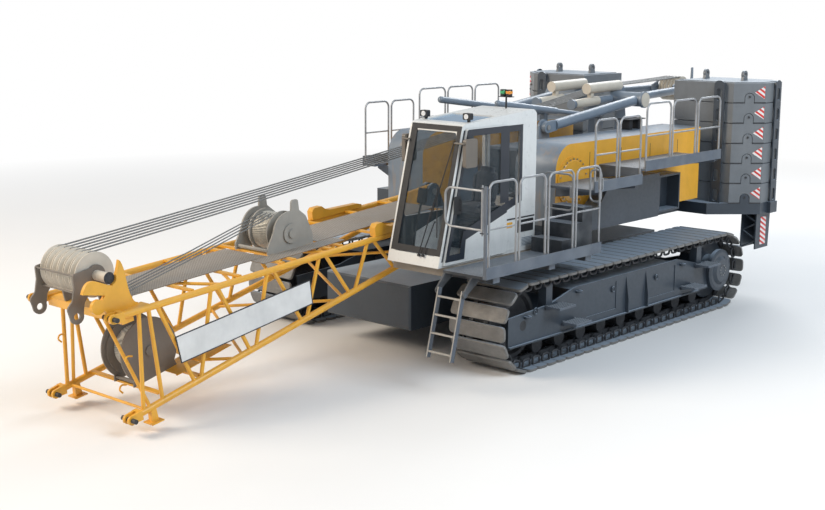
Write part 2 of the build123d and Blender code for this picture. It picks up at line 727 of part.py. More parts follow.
def tongue(z, grow, depth):
    """The locking tongue on the slanted corner of a slab, its foot at height z."""
    half = WEIGHT_CHAMFER / 2
    corner = Plane(origin=(WEIGHT_X1 - half, WEIGHT_Y1 - half, z), x_dir=(-1, 1, 0), z_dir=(1, 1, 0))
    wide = TONGUE_WIDE + 2 * grow
    high = TONGUE_HIGH + grow
    outline = [(-wide / 2, 0), (wide / 2, 0), (wide / 2, high), (-wide / 2, high)]
    face = rounded(outline, [(2, wide * 0.49), (3, wide * 0.49)])
    return extrude(corner * face, amount=depth, dir=(-1, -1, 0))


def guide_strip(wide, high):
    """A guide strip with a row of slots and a rounded top, as a flat outline."""
    face = rounded([(0, 0), (wide, 0), (wide, high), (0, high)], [(2, wide * 0.45), (3, wide * 0.45)])
    for index in range(SLAB_COUNT):
        slot = RectangleRounded(SLOT_WIDE, SLOT_HIGH, SLOT_WIDE * 0.4)
        face -= Pos(wide / 2, SLAB_HIGH * (index + 0.45)) * slot
    return face


def rear_leg():
    """The trussed leg under the counterweight base on the cab side."""
    top = WEIGHT_BASE_Z0
    side = [(LEG_X0, top), (LEG_X0 + 40, LEG_Z0), (LEG_X1 + 20, LEG_Z0), (LEG_X1, top)]
    leg = side_plate(side, LEG_Y1 - LEG_PLATE, LEG_Y1) + side_plate(side, LEG_Y0, LEG_Y0 + LEG_PLATE)
    leg += block(LEG_X0 + 40, LEG_X0 + 40 + LEG_PLATE, LEG_Y0, LEG_Y1, LEG_Z0, top)
    rise = (top - LEG_Z0 - 2 * LEG_BAR_R) / 4
    x = LEG_X1 - 40
    edges = (LEG_Y0 + LEG_PLATE / 2, LEG_Y1 - LEG_PLATE / 2)
    for index in range(4):
        z = LEG_Z0 + LEG_BAR_R + rise * index
        start = (x, edges[index % 2], z)
        end = (x, edges[1 - index % 2], z + rise)
        leg += bar(start, end, LEG_BAR_R)
    return leg


def weights():
    """Counterweight base with guide strips, slabs, lifting eyes and rear legs."""
    outline = weight_outline()
    rim = outline[1:5]
    base = flat_plate(rim + [(x, -y) for x, y in reversed(rim)], WEIGHT_BASE_Z0, WEIGHT_Z0)
    lip = [(WEIGHT_X1, FRAME_HALF + 20), (WEIGHT_X1 + BASE_LIP, FRAME_HALF + 20)]
    lip += [(WEIGHT_X1 + BASE_LIP, WEIGHT_Y1 - WEIGHT_CHAMFER - 330)]
    lip += [(WEIGHT_X1, WEIGHT_Y1 - WEIGHT_CHAMFER)]
    pad_x1 = GUIDE_SIDE_X + GUIDE_WIDE + GUIDE_PLATE
    pad_y1 = WEIGHT_Y1 + 3 * GUIDE_PLATE
    pad_y0 = WEIGHT_Y1 - GUIDE_PLATE
    pad = block(GUIDE_SIDE_X - GUIDE_PLATE, pad_x1, pad_y0, pad_y1, WEIGHT_BASE_Z0, WEIGHT_Z0)
    root = WEIGHT_Z0 - GUIDE_PLATE
    high = SLAB_HIGH * SLAB_COUNT + GUIDE_RISE + GUIDE_PLATE
    strip = guide_strip(GUIDE_WIDE, high)
    front = Plane(origin=(WEIGHT_X1 + 2 * GUIDE_PLATE, GUIDE_Y, root), x_dir=(0, 1, 0), z_dir=(1, 0, 0))
    flank = Plane(origin=(GUIDE_SIDE_X, WEIGHT_Y1 + GUIDE_PLATE, root), x_dir=(1, 0, 0), z_dir=(0, -1, 0))
    extras = [flat_plate(lip, WEIGHT_BASE_Z0, WEIGHT_Z0), pad]
    extras.append(extrude(front * strip, amount=GUIDE_PLATE, dir=(1, 0, 0)))
    extras.append(extrude(flank * strip, amount=GUIDE_PLATE, dir=(0, 1, 0)))
    for extra in extras:
        for twin in both_sides(extra):
            base += twin
    rest = offset(Polygon(*outline, align=None), amount=-SLAB_INSET, kind=Kind.INTERSECTION)
    slabs = []
    for index in range(SLAB_COUNT):
        z0 = WEIGHT_Z0 + SLAB_HIGH * index
        z1 = z0 + SLAB_HIGH
        slab = flat_plate(outline, z0 + SEAT, z1 - SLAB_JOINT)
        slab += extrude(Plane.XY.offset(z1 - SLAB_JOINT) * rest, amount=SLAB_JOINT, dir=(0, 0, 1))
        slab -= tongue(z0 - SLAB_JOINT - TONGUE_ROOT, TONGUE_GAP, TONGUE_DEEP + TONGUE_GAP)
        if index < SLAB_COUNT - 1:
            slab += tongue(z1 - SLAB_JOINT - TONGUE_ROOT, 0, TONGUE_DEEP)
        slabs += both_sides(slab)
    foot = tongue(WEIGHT_Z0 - SLAB_JOINT - TONGUE_ROOT, 0, TONGUE_DEEP)
    for twin in both_sides(foot):
        base += twin
    save("counterweight_base", base)
    save("counterweight_slabs", *slabs)
    top = WEIGHT_Z0 + SLAB_HIGH * SLAB_COUNT
    eye_x = (WEIGHT_X0 + WEIGHT_X1) / 2
    eyes = []
    for y in (WEIGHT_Y0 + 300, WEIGHT_Y1 - 700):
        stem = [(eye_x - 100, top), (eye_x + 100, top)]
        stem += [(eye_x + 70, top + EYE_RISE), (eye_x - 70, top + EYE_RISE)]
        eyes += both_sides(eye_plate(eye_x, top + EYE_RISE, EYE_R, EYE_BORE, stem, y, y + EYE_THICK))
    save("lifting_eyes", *eyes)
    save("rear_legs", *both_sides(rear_leg()))


def cab_face(inset):
    """Side view of the cab with its rounded roof corners, drawn in by inset."""
    points = [(CAB_REAR_X, CAB_Z0), (CAB_FRONT_X, CAB_Z0)]
    points += [(CAB_TOP_X, CAB_TOP_Z), (CAB_REAR_X, CAB_REAR_Z)]
    face = rounded(points, [(2, CAB_ROUND), (3, CAB_ROUND)])
    if inset:
        face = offset(face, amount=-inset, kind=Kind.INTERSECTION)
    return face


def cab_front_x(z):
    """Where the cab's front stands at height z."""
    share = (z - CAB_Z0) / (CAB_TOP_Z - CAB_Z0)
    return CAB_FRONT_X + (CAB_TOP_X - CAB_FRONT_X) * share


def sill_z(x):
    """Height of the slanting lower edge of the side windows."""
    share = (x - SILL_FRONT_X) / (SILL_REAR_X - SILL_FRONT_X)
    return SILL_FRONT_Z + (SILL_REAR_Z - SILL_FRONT_Z) * share


def pane_face(points, inset):
    """A side window with rounded corners, drawn in by inset."""
    face = rounded(points, [(index, PANE_ROUND) for index in range(len(points))])
    if inset:
        face = offset(face, amount=-inset)
    return face


def cab():
    """The cab: frame, panes, door, seat and controls."""
    wall_y1 = CAB_Y1 - DOOR_THICK - DOOR_GAP
    shell = through(cab_face(0), CAB_Y0, wall_y1)
    shell -= through(cab_face(CAB_WALL), CAB_Y0 + CAB_WALL, wall_y1 - CAB_WALL)
    head = CAB_TOP_Z - 110
    sill = CAB_Z0 + 70
    back = DOOR_X0 + 40
    opening = [(back, sill), (cab_front_x(sill) - 130, sill)]
    opening += [(cab_front_x(head) - 130, head), (back, head)]
    quarter_x1 = DOOR_X0 - 30
    quarter = [(SILL_REAR_X, SILL_REAR_Z), (quarter_x1, sill_z(quarter_x1))]
    quarter += [(quarter_x1, head), (SILL_REAR_X, head)]
    low = SILL_REAR_Z - 190
    right = [(CAB_REAR_X + 110, low), (cab_front_x(low) - 150, low), (cab_front_x(head) - 150, head)]
    right += [(CAB_REAR_X + 110, head)]
    shell -= side_plate(opening, wall_y1 - CAB_WALL - 1, wall_y1 + 1)
    shell -= through(pane_face(quarter, 0), wall_y1 - CAB_WALL - 1, wall_y1 + 1)
    shell -= through(pane_face(right, 0), CAB_Y0 - 1, CAB_Y0 + CAB_WALL + 1)
    pane_y = wall_y1 - CAB_WALL / 2
    panes = [through(pane_face(quarter, SEAT), pane_y, pane_y + GLASS)]
    pane_y = CAB_Y0 + CAB_WALL / 2
    panes.append(through(pane_face(right, SEAT), pane_y, pane_y + GLASS))
    middle_y = (CAB_Y0 + wall_y1) / 2
    slope = Vector(CAB_TOP_X - CAB_FRONT_X, 0, CAB_TOP_Z - CAB_Z0)
    front_at = ((CAB_FRONT_X + CAB_TOP_X) / 2, middle_y, (CAB_Z0 + CAB_TOP_Z) / 2)
    front = Plane(origin=front_at, x_dir=(0, 1, 0), z_dir=Vector(0, 1, 0).cross(slope))
    roof_run = Vector(CAB_TOP_X - CAB_REAR_X, 0, CAB_TOP_Z - CAB_REAR_Z)
    roof_at = Vector(CAB_TOP_X, middle_y, CAB_TOP_Z) - roof_run * 0.3
    roof = Plane(origin=roof_at, x_dir=(0, 1, 0), z_dir=roof_run.cross(Vector(0, 1, 0)))
    rear = Plane(origin=(CAB_REAR_X, middle_y, SILL_REAR_Z + 600), x_dir=(0, 1, 0), z_dir=(-1, 0, 0))
    wide = wall_y1 - CAB_Y0 - 2 * PILLAR
    faces = [(front, wide, slope.length - 330, 25), (roof, wide, 780, 0), (rear, wide, 1300, 0)]
    for plane, across, tall, shift in faces:
        cut = extrude(RectangleRounded(across, tall, PANE_ROUND), amount=2 * CAB_WALL, both=True)
        outline = RectangleRounded(across - 2 * SEAT, tall - 2 * SEAT, PANE_ROUND - SEAT)
        pane = extrude(outline, amount=GLASS)
        shell -= plane * Pos(0, shift, 0) * cut
        panes.append(plane * Pos(0, shift, -CAB_WALL / 2) * pane)
    rail_y1 = wall_y1 + DOOR_GAP - CLEAR
    for z in (CAB_Z0 + 60, CAB_TOP_Z - 95):
        shell += block(CAB_REAR_X + 20, DOOR_X0 + 1000, wall_y1, rail_y1, z - 15, z + 15)
    save("cab_frame", shell)
    save("cab_glass", *panes)
    cab_door()
    cab_inside(middle_y)
    cab_outside(wall_y1)
    base_x1 = CAB_FRONT_X - 150
    base = block(BOOM_PIN_X + 50, base_x1, FRAME_HALF, CAB_Y1 - 40, CAB_BASE_Z0, CAB_Z0)
    base += block(FRAME_X1 + 50, base_x1, CAB_Y0, FRAME_HALF, CAB_BASE_Z0, CAB_Z0)
    save("cab_base", base)


def cab_inside(middle_y):
    """The seat on its pedestal between two control consoles."""
    half = SEAT_HALF
    seat_top = SEAT_Z + SEAT_THICK
    cushion = block(SEAT_X, SEAT_X + SEAT_LONG, middle_y - half, middle_y + half, SEAT_Z, seat_top)
    cushion = fillet(cushion.faces().sort_by(Axis.Z)[-1].edges(), SEAT_THICK * 0.4)
    back_z1 = SEAT_Z + SEAT_THICK + SEAT_BACK_HIGH
    lean = [(SEAT_X - 90, SEAT_Z), (SEAT_X + 30, SEAT_Z), (SEAT_X - 70, back_z1), (SEAT_X - 170, back_z1)]
    back = through(rounded(lean, [(2, 45), (3, 45)]), middle_y - half + 10, middle_y + half - 10)
    save("operator_seat", cushion + back)
    floor = CAB_Z0 + CAB_WALL
    seat_mid = SEAT_X + SEAT_LONG / 2 - 30
    console = block(seat_mid - 260, seat_mid + 240, middle_y - 190, middle_y + 190, floor, SEAT_Z - CLEAR)
    top = SEAT_Z + CONSOLE_HIGH
    arm = [(SEAT_X + 50, floor), (SEAT_X + 500, floor), (SEAT_X + 650, top - 60), (SEAT_X + 610, top)]
    arm += [(SEAT_X + 50, top)]
    for y0 in (middle_y - CONSOLE_Y - CONSOLE_WIDE, middle_y + CONSOLE_Y):
        console += side_plate(arm, y0, y0 + CONSOLE_WIDE)
    reach = CONSOLE_Y + CONSOLE_WIDE
    console += block(SEAT_X + 50, SEAT_X + 490, middle_y - reach, middle_y + reach, floor, floor + 80)
    save("cab_console", console)


def cab_outside(wall_y1):
    """Mirrors on their arms, and the lamps and beacon on the roof."""
    arm_r = MIRROR_ARM_R
    mirrors = []
    for side, wall in ((1, CAB_Y1 + MIRROR_OUT), (-1, CAB_Y0 - MIRROR_OUT)):
        y0 = wall if side > 0 else wall - MIRROR_THICK
        x0 = MIRROR_X - MIRROR_WIDE
        shape = block(x0, MIRROR_X, y0, y0 + MIRROR_THICK, MIRROR_Z, MIRROR_Z + MIRROR_HIGH)
        shape = fillet(shape.edges().filter_by(Axis.Y), 40)
        z = MIRROR_Z + MIRROR_HIGH * 0.85
        elbow = (cab_front_x(z) + 60, y0 + MIRROR_THICK / 2, z)
        root_y = (wall_y1 if side > 0 else CAB_Y0) - side * PILLAR / 2
        shape += bar((MIRROR_X - 60, elbow[1], z), elbow, arm_r)
        shape += bar(elbow, (elbow[0], root_y, z), arm_r)
        shape += Pos(*elbow) * Sphere(arm_r)
        root = (elbow[0], root_y, z)
        shape += bar(root, (cab_front_x(z) - 40, root_y, z), arm_r) + Pos(*root) * Sphere(arm_r)
        mirrors.append(largest(shape - through(cab_face(0), CAB_Y0 - 1, wall_y1 + 1)))
    save("cab_mirrors", *mirrors)
    lamps = []
    slope = (CAB_REAR_Z - CAB_TOP_Z) / (CAB_TOP_X - CAB_REAR_X)
    x = CAB_TOP_X - CAB_ROUND - 120
    roof_z = CAB_TOP_Z + slope * (CAB_TOP_X - x)
    for y in (CAB_Y0 + PILLAR, wall_y1 - PILLAR):
        rear = x - LAMP_POST
        foot = block(rear, x, y - LAMP_POST / 2, y + LAMP_POST / 2, roof_z - 40, roof_z + LAMP_POST)
        z0 = roof_z + LAMP_POST
        half = LAMP_WIDE / 2
        lamp = block(rear, rear + LAMP_DEEP, y - half, y + half, z0, z0 + LAMP_HIGH)
        lamps.append(fillet(lamp.edges().filter_by(Axis.X), 20) + foot)
    roof_z = CAB_TOP_Z + slope * (CAB_TOP_X - BEACON_X)
    beacon = bar((BEACON_X, BEACON_Y, roof_z - 60), (BEACON_X, BEACON_Y, roof_z + BEACON_HIGH * 0.6), 16)
    for y in (BEACON_Y - 65, BEACON_Y + 65):
        beacon += bar((BEACON_X, y, roof_z + BEACON_HIGH * 0.62), (BEACON_X, y, roof_z + BEACON_HIGH), 55)
    z = roof_z + BEACON_HIGH * 0.6
    beacon += block(BEACON_X - 60, BEACON_X + 60, BEACON_Y - 130, BEACON_Y + 130, z, z + 12)
    lamps.append(beacon)
    cab_solid = through(cab_face(0), CAB_Y0, wall_y1)
    save("work_lamps", *[largest(lamp - cab_solid) for lamp in lamps])


def cab_door():
    """The sliding door on the outside of the cab, with its window."""
    y0 = CAB_Y1 - DOOR_THICK
    low = CAB_Z0 + 40
    high = CAB_TOP_Z - 75
    outline = [(DOOR_X0, low), (cab_front_x(low) - 90, low)]
    outline += [(cab_front_x(high) - 90, high), (DOOR_X0, high)]
    door = through(rounded(outline, [(0, PANE_ROUND), (3, PANE_ROUND)]), y0, CAB_Y1)
    top = high - DOOR_EDGE
    back = DOOR_X0 + DOOR_EDGE
    edge = 90 + DOOR_EDGE
    pane = [(back, sill_z(back)), (SILL_FRONT_X - 30, SILL_FRONT_Z), (SILL_FRONT_X + 40, SILL_LOW_Z + 20)]
    pane += [(cab_front_x(SILL_LOW_Z) - edge, SILL_LOW_Z + 20), (cab_front_x(top) - edge, top)]
    pane += [(back, top)]
    door -= through(pane_face(pane, 0), y0 - 1, CAB_Y1 + 1)
    save("cab_door", door)
    save("cab_door_glass", through(pane_face(pane, SEAT), y0 + 15, y0 + 15 + GLASS))


def upper_walkway(level, y1):
    """One level of the walkway beside a hood, out to y1."""
    x0, x1, z, top, count = level
    deck = block(x0, x1, HOOD_Y1 + PLATFORM_GAP, y1, z - DECK_THICK, z)
    deck += block(x0, x1, y1 - TOE_THICK, y1, z, z + TOE_HIGH)
    for x in (x0 + 60, min(x1, HOOD_X1) - 30):
        brace = [(HOOD_Y1, z - 260), (HOOD_Y1, z - DECK_THICK)]
        brace += [(y1 - 100, z - DECK_THICK), (y1 - 100, z - 120)]
        deck += cross_plate(brace, x, x + 25)
    return deck


def walkway_rails(level, y1):
    """The hoops along one level of a walkway."""
    x0, x1, z, top, count = level
    span = (x1 - x0) / count
    rails = []
    for index in range(count):
        start = x0 + span * index + 45
        y = y1 - RAIL_IN
        rails.append(hoop((start, y, 0), (start + span - 90, y, 0), z, top))
    return rails


def walkways():
    """Platform beside the cab, its stairs and the upper walkways."""
    deck_z = PLATFORM_Z - DECK_THICK
    deck = block(PLATFORM_X0, PLATFORM_X1, CAB_Y1 + PLATFORM_GAP, PLATFORM_Y1, deck_z, PLATFORM_Z)
    toe_y = PLATFORM_Y1 - TOE_THICK
    deck += block(PLATFORM_X0, PLATFORM_X1, toe_y, PLATFORM_Y1, PLATFORM_Z, PLATFORM_Z + TOE_HIGH)
    run = PLATFORM_X1 - PLATFORM_X0
    for share in (0.07, 0.4, 0.87):
        x = PLATFORM_X0 + run * share
        deck += block(x, x + 160, CAB_Y1 - 40, PLATFORM_Y1 - 60, CAB_BASE_Z0, deck_z)
    for y in (LADDER_Y0 - LADDER_LUG - SWING, LADDER_Y1 + SWING):
        stem = [(PLATFORM_X1 - 300, deck_z), (PLATFORM_X1, deck_z)]
        stem += [(LADDER_PIN_X + 30, LADDER_PIN_Z + 40)]
        stem += [(LADDER_PIN_X - 50, LADDER_PIN_Z - 10)]
        deck += eye_plate(LADDER_PIN_X, LADDER_PIN_Z, 55, LADDER_PIN_R + CLEAR, stem, y, y + LADDER_LUG)
    rise = (STEP_LEVELS[0][2] - PLATFORM_Z) / (STAIR_COUNT + 1)
    for index in range(1, STAIR_COUNT + 1):
        x0 = PLATFORM_X0 + STAIR_LONG * (STAIR_COUNT - index)
        y0 = CAB_Y1 + PLATFORM_GAP + 40
        deck += block(x0, x0 + STAIR_LONG, y0, y0 + 650, PLATFORM_Z, PLATFORM_Z + rise * index)
    post_y = PLATFORM_Y1 - RAIL_IN
    half = GATE_POST / 2
    post_x1 = PLATFORM_X1
    deck += block(GATE_X + 2, post_x1, post_y - half, post_y + half, PLATFORM_Z, GATE_Z1 + 80)
    for z in (GATE_Z0 - 55, GATE_Z1 + 35):
        lug = block(GATE_X - half, post_x1, GATE_POST_Y - half, post_y + half, z, z + 20)
        lug -= bar((GATE_X, GATE_POST_Y, z - 1), (GATE_X, GATE_POST_Y, z + 21), GATE_PIN_R + CLEAR)
        deck += lug
    save("cab_platform", deck)
    decks = []
    rails = []
    for level in STEP_LEVELS:
        decks.append(upper_walkway(level, LEFT_WALK_Y))
        decks.append(mirror(upper_walkway(level, RIGHT_WALK_Y), about=Plane.XZ))
        rails += walkway_rails(level, LEFT_WALK_Y)
        rails += [mirror(rail, about=Plane.XZ) for rail in walkway_rails(level, RIGHT_WALK_Y)]
    save("upper_walkways", *decks)
    span = (run - GATE_POST) / LOW_RAIL_COUNT
    for index in range(LOW_RAIL_COUNT):
        x0 = PLATFORM_X0 + span * index + RAIL_FOOT
        rails.append(hoop((x0, post_y, 0), (x0 + span - 90, post_y, 0), PLATFORM_Z, LOW_RAIL_Z))
    save("handrails", *rails)


def ladder():
    """The access ladder that hangs from the platform's front, and the gate above it."""
    lean = math.degrees(math.atan2(LADDER_REACH, LADDER_DROP))
    length = math.hypot(LADDER_REACH, LADDER_DROP)
    place = Pos(LADDER_PIN_X, 0, LADDER_PIN_Z) * Rot(0, -lean, 0)
    half = LADDER_STILE / 2
    frame = block(-half, half, LADDER_Y0, LADDER_Y0 + LADDER_PLATE, -length, 50)
    frame += block(-half, half, LADDER_Y1 - LADDER_PLATE, LADDER_Y1, -length, 50)
    for index in range(RUNG_COUNT):
        z = -length + 90 + index * (length - 200) / (RUNG_COUNT - 1)
        frame += block(-half + 5, half - 5, LADDER_Y0, LADDER_Y1, z, z + RUNG_THICK)
    reach = SWING + LADDER_LUG
    frame += drum(0, 0, LADDER_Y0 - reach, LADDER_Y0, LADDER_PIN_R)
    frame += drum(0, 0, LADDER_Y1, LADDER_Y1 + reach, LADDER_PIN_R)
    save("access_ladder", place * frame)
    corners = [(GATE_X, GATE_POST_Y, GATE_Z0), (GATE_X, GATE_END_Y, GATE_Z0)]
    corners += [(GATE_X, GATE_END_Y, GATE_Z1)]
    corners += [(GATE_X, GATE_POST_Y, GATE_Z1)]
    path = FilletPolyline(*corners, radius=RAIL_BEND)
    gate = sweep((path ^ 0) * Circle(RAIL_R), path=path)
    gate += bar((GATE_X, GATE_POST_Y, GATE_Z0 - 90), (GATE_X, GATE_POST_Y, GATE_Z1 + 90), GATE_PIN_R)
    gate += bar((GATE_X, GATE_POST_Y, GATE_Z0 - 25), (GATE_X, GATE_POST_Y, GATE_Z1 + 25), RAIL_R * 1.2)
    save("platform_gate", gate)


def grooved(half, radius, groove, count, pitch, axle_r, ends):
    """Profile of a row of grooved sheaves on one axle, for turning."""
    y0, y1 = ends
    profile = [(0, y0), (axle_r, y0), (axle_r, -half)]
    for index in range(count):
        y = (index - (count - 1) / 2) * pitch
        rim = pitch * 0.44
        profile += [(radius - groove, y - rim), (radius, y - rim), (radius, y - rim * 0.75)]
        profile += [(radius - groove, y - rim * 0.2), (radius - groove, y + rim * 0.2)]
        profile += [(radius, y + rim * 0.75), (radius, y + rim), (radius - groove, y + rim)]
    profile += [(axle_r, half), (axle_r, y1), (0, y1)]
    return profile


def gantry_supports():
    """The plates and pins that the gantry and the boom rope's guide stand on."""
    reach = SUPPORT_R
    stem = [(GANTRY_PIN_X - 500, FRAME_Z1), (GANTRY_PIN_X + 350, FRAME_Z1)]
    stem += [(GANTRY_PIN_X + reach, GANTRY_PIN_Z), (GANTRY_PIN_X - reach, GANTRY_PIN_Z)]
    inner = GANTRY_Y - GANTRY_EYE_HALF - SWING
    bore = GANTRY_PIN_R + CLEAR
    post = eye_plate(GANTRY_PIN_X, GANTRY_PIN_Z, reach, bore, stem, inner - SUPPORT_THICK, inner)
    save("gantry_supports", *both_sides(post))
    pin_y0 = inner - SUPPORT_THICK - 20
    pin_y1 = GANTRY_Y + GANTRY_EYE_HALF + 20
    save("gantry_pins", *both_sides(drum(GANTRY_PIN_X, GANTRY_PIN_Z, pin_y0, pin_y1, GANTRY_PIN_R)))
    ear = GUIDE_EAR_R
    guide = [(GUIDE_X - 300, MIDDLE_Z1), (GUIDE_X + 200, MIDDLE_Z1), (GUIDE_X + ear * 0.8, GUIDE_Z)]
    guide += [(GUIDE_X - ear * 0.8, GUIDE_Z)]
    bore = GUIDE_AXLE_R + CLEAR
    stand = eye_plate(GUIDE_X, GUIDE_Z, ear, bore, guide, GUIDE_HALF, GUIDE_HALF + HEAD_PLATE)
    save("rope_guide", *both_sides(stand))
    end = GUIDE_HALF + HEAD_PLATE + 15
    half = GUIDE_HALF - SWING
    profile = [(0, -end), (GUIDE_AXLE_R, -end), (GUIDE_AXLE_R, -half), (GUIDE_R, -half)]
    profile += [(radius, -y) for radius, y in reversed(profile)]
    save("rope_guide_roller", turned(GUIDE_X, 0, GUIDE_Z, profile))


def backstops():
    """The two stops that the raised boom leans on, each on a post."""
    tip = Vector(STOP_TIP_X, STOP_Y, STOP_TIP_Z)
    rear = Vector(STOP_REAR_X, STOP_Y, STOP_REAR_Z)
    middle = tip + (rear - tip) * STOP_BARREL
    stop = bar(rear, middle, STOP_R) + bar(middle, tip, STOP_BARREL_R) + Pos(*tip) * Sphere(STOP_BARREL_R)
    half = STOP_POST / 2
    rear_x = STOP_REAR_X
    post = block(rear_x - half, rear_x + half, STOP_Y - half, STOP_Y + half, MIDDLE_Z1, STOP_REAR_Z)
    cutter = bar(rear - (tip - rear) * 0.1, middle, STOP_R + CLEAR)
    save("backstops", *both_sides(stop), *both_sides(largest(post - cutter)))


def gantry():
    """The folded gantry: legs, cross tube, struts, head plates and sheaves."""
    foot = (GANTRY_PIN_X, GANTRY_Y, GANTRY_PIN_Z)
    neck = (CROSS_X, GANTRY_Y, CROSS_Z)
    saddle = drum(CROSS_X, CROSS_Z, -CROSS_HALF, CROSS_HALF, CROSS_R + CLEAR)
    gap = 250
    pin_x = GANTRY_PIN_X
    room = block(pin_x - gap, pin_x + gap, 0, 2 * GANTRY_Y, GANTRY_PIN_Z - 800, GANTRY_PIN_Z + 800)
    leg = bar(foot, neck, GANTRY_LEG_R) - room
    eye_r = GANTRY_EYE_R
    stem = [(GANTRY_PIN_X - gap - 50, GANTRY_PIN_Z - 70), (GANTRY_PIN_X, GANTRY_PIN_Z - eye_r)]
    stem += [(GANTRY_PIN_X, GANTRY_PIN_Z + eye_r), (GANTRY_PIN_X - gap - 50, GANTRY_PIN_Z + 130)]
    y0 = GANTRY_Y - GANTRY_EYE_HALF
    y1 = GANTRY_Y + GANTRY_EYE_HALF
    leg += eye_plate(GANTRY_PIN_X, GANTRY_PIN_Z, eye_r, GANTRY_PIN_R + CLEAR, stem, y0, y1)
    half = GANTRY_HEAD_HALF
    head = (GANTRY_HEAD_X + 250, half + 25, GANTRY_HEAD_Z)
    arm = bar((CROSS_X, GANTRY_Y - 250, CROSS_Z), head, GANTRY_LEG_R * 0.85)
    tip = (CROSS_X + STRUT_LONG, STRUT_Y, CROSS_Z - 60)
    strut = bar((CROSS_X, STRUT_Y, CROSS_Z), tip, STRUT_R)
    strut += bar(tip, (tip[0] + STRUT_CAP, STRUT_Y, tip[2]), STRUT_R + 20)
    cap = drum(CROSS_X, CROSS_Z, CROSS_HALF, CROSS_HALF + STRUT_CAP, CROSS_R + 20)
    tube = drum(CROSS_X, CROSS_Z, -CROSS_HALF, CROSS_HALF, CROSS_R)
    for side in both_sides(cap):
        tube += side
    frame = [tube]
    for piece in (leg, arm, strut):
        frame += both_sides(largest(piece - saddle))
    save("gantry_legs", *frame)
    x, z = GANTRY_HEAD_X, GANTRY_HEAD_Z
    plate = [(x - 330, z - 120), (x + 100, z - 230), (x + 500, z - 90)]
    plate += [(x + 500, z + 90), (x + 100, z + 230)]
    plate += [(x - 330, z + 150)]
    face = rounded(plate, [(0, 100), (1, 100), (4, 100), (5, 100)])
    for hole_x, hole_z in ((x - 190, z + 20), (x + 190, z + 120), (x + 190, z - 120), (x + 330, z)):
        face -= Pos(hole_x, hole_z) * Circle(HEAD_HOLE_R)
    outer = half - 60
    cheek = through(face, outer - HEAD_PLATE, outer)
    cheek -= drum(x, z, 0, half, GANTRY_AXLE_R + CLEAR)
    left, right = both_sides(cheek)
    mast = [(x - 330, z + 60), (x - 330 + MAST_WIDE, z + 60), (x - 350 + MAST_WIDE, z + MAST_HIGH)]
    mast += [(x - 320, z + MAST_HIGH)]
    left += through(rounded(mast, [(2, 25), (3, 25)]), outer, outer + HEAD_PLATE)
    save("gantry_head", left, right)
    width = GANTRY_SHEAVES * GANTRY_SHEAVE_PITCH / 2
    profile = grooved(width, GANTRY_SHEAVE_R, SHEAVE_GROOVE, GANTRY_SHEAVES, GANTRY_SHEAVE_PITCH,
                      GANTRY_AXLE_R, (-half, half))
    save("gantry_sheaves", turned(x, 0, z, profile))


def chord_point(s, side_y, half):
    """A point on a chord's middle line at a distance from the foot pin."""
    return (s, side_y, half * (FOOT_DEEP + chord_rise * s))


def boom_chords():
    """The four chords and the tools that cope other tubes to them."""
    chords = []
    cutters = []
    trim = block(CHORD_START, LUG_START, -2 * BOOM_HALF, 2 * BOOM_HALF, -BOOM_HALF, BOOM_HALF)
    for side_y in (-BOOM_HALF, BOOM_HALF):
        for half in (-1, 1):
            start = chord_point(CHORD_START - CHORD_R, side_y, half)
            end = chord_point(LUG_START + CHORD_R, side_y, half)
            chords.append(bar(start, end, CHORD_R) & trim)
            cutters.append(bar(start, end, CHORD_R + CLEAR))
    save("boom_chords", *[boom_place * chord for chord in chords])
    return cutters


def boom_lacing(cutters):
    """Side and face lacing, each tube coped to the chords that it joins."""
    sides = []
    for side_y in (-BOOM_HALF, BOOM_HALF):
        ends = []
        for index in range(PANEL_COUNT):
            top = LAST_NODE - PANEL * index
            low = top - PANEL / 2
            ends += [(top - NODE_SPREAD, low + NODE_SPREAD)]
            ends += [(top - PANEL + NODE_SPREAD, low - NODE_SPREAD)]
        ends += [(LAST_NODE + 90, LAST_NODE + 120), (LAST_NODE + 260, LUG_START - 70)]
        for upper, lower in ends:
            sides.append(bar(chord_point(upper, side_y, 1), chord_point(lower, side_y, -1), LACE_R))
    faces = []
    for half in (-1, 1):
        for index in range(PANEL_COUNT):
            front = LAST_NODE - PANEL / 4 - PANEL * index
            flip = BOOM_HALF if index % 2 else -BOOM_HALF
            start = chord_point(front - NODE_SPREAD, flip, half)
            end = chord_point(front - PANEL + NODE_SPREAD, -flip, half)
            faces.append(bar(start, end, FACE_LACE_R))
    save("boom_side_lacing", *[boom_place * coped(tube, cutters) for tube in sides])
    save("boom_face_lacing", *[boom_place * coped(tube, cutters) for tube in faces])


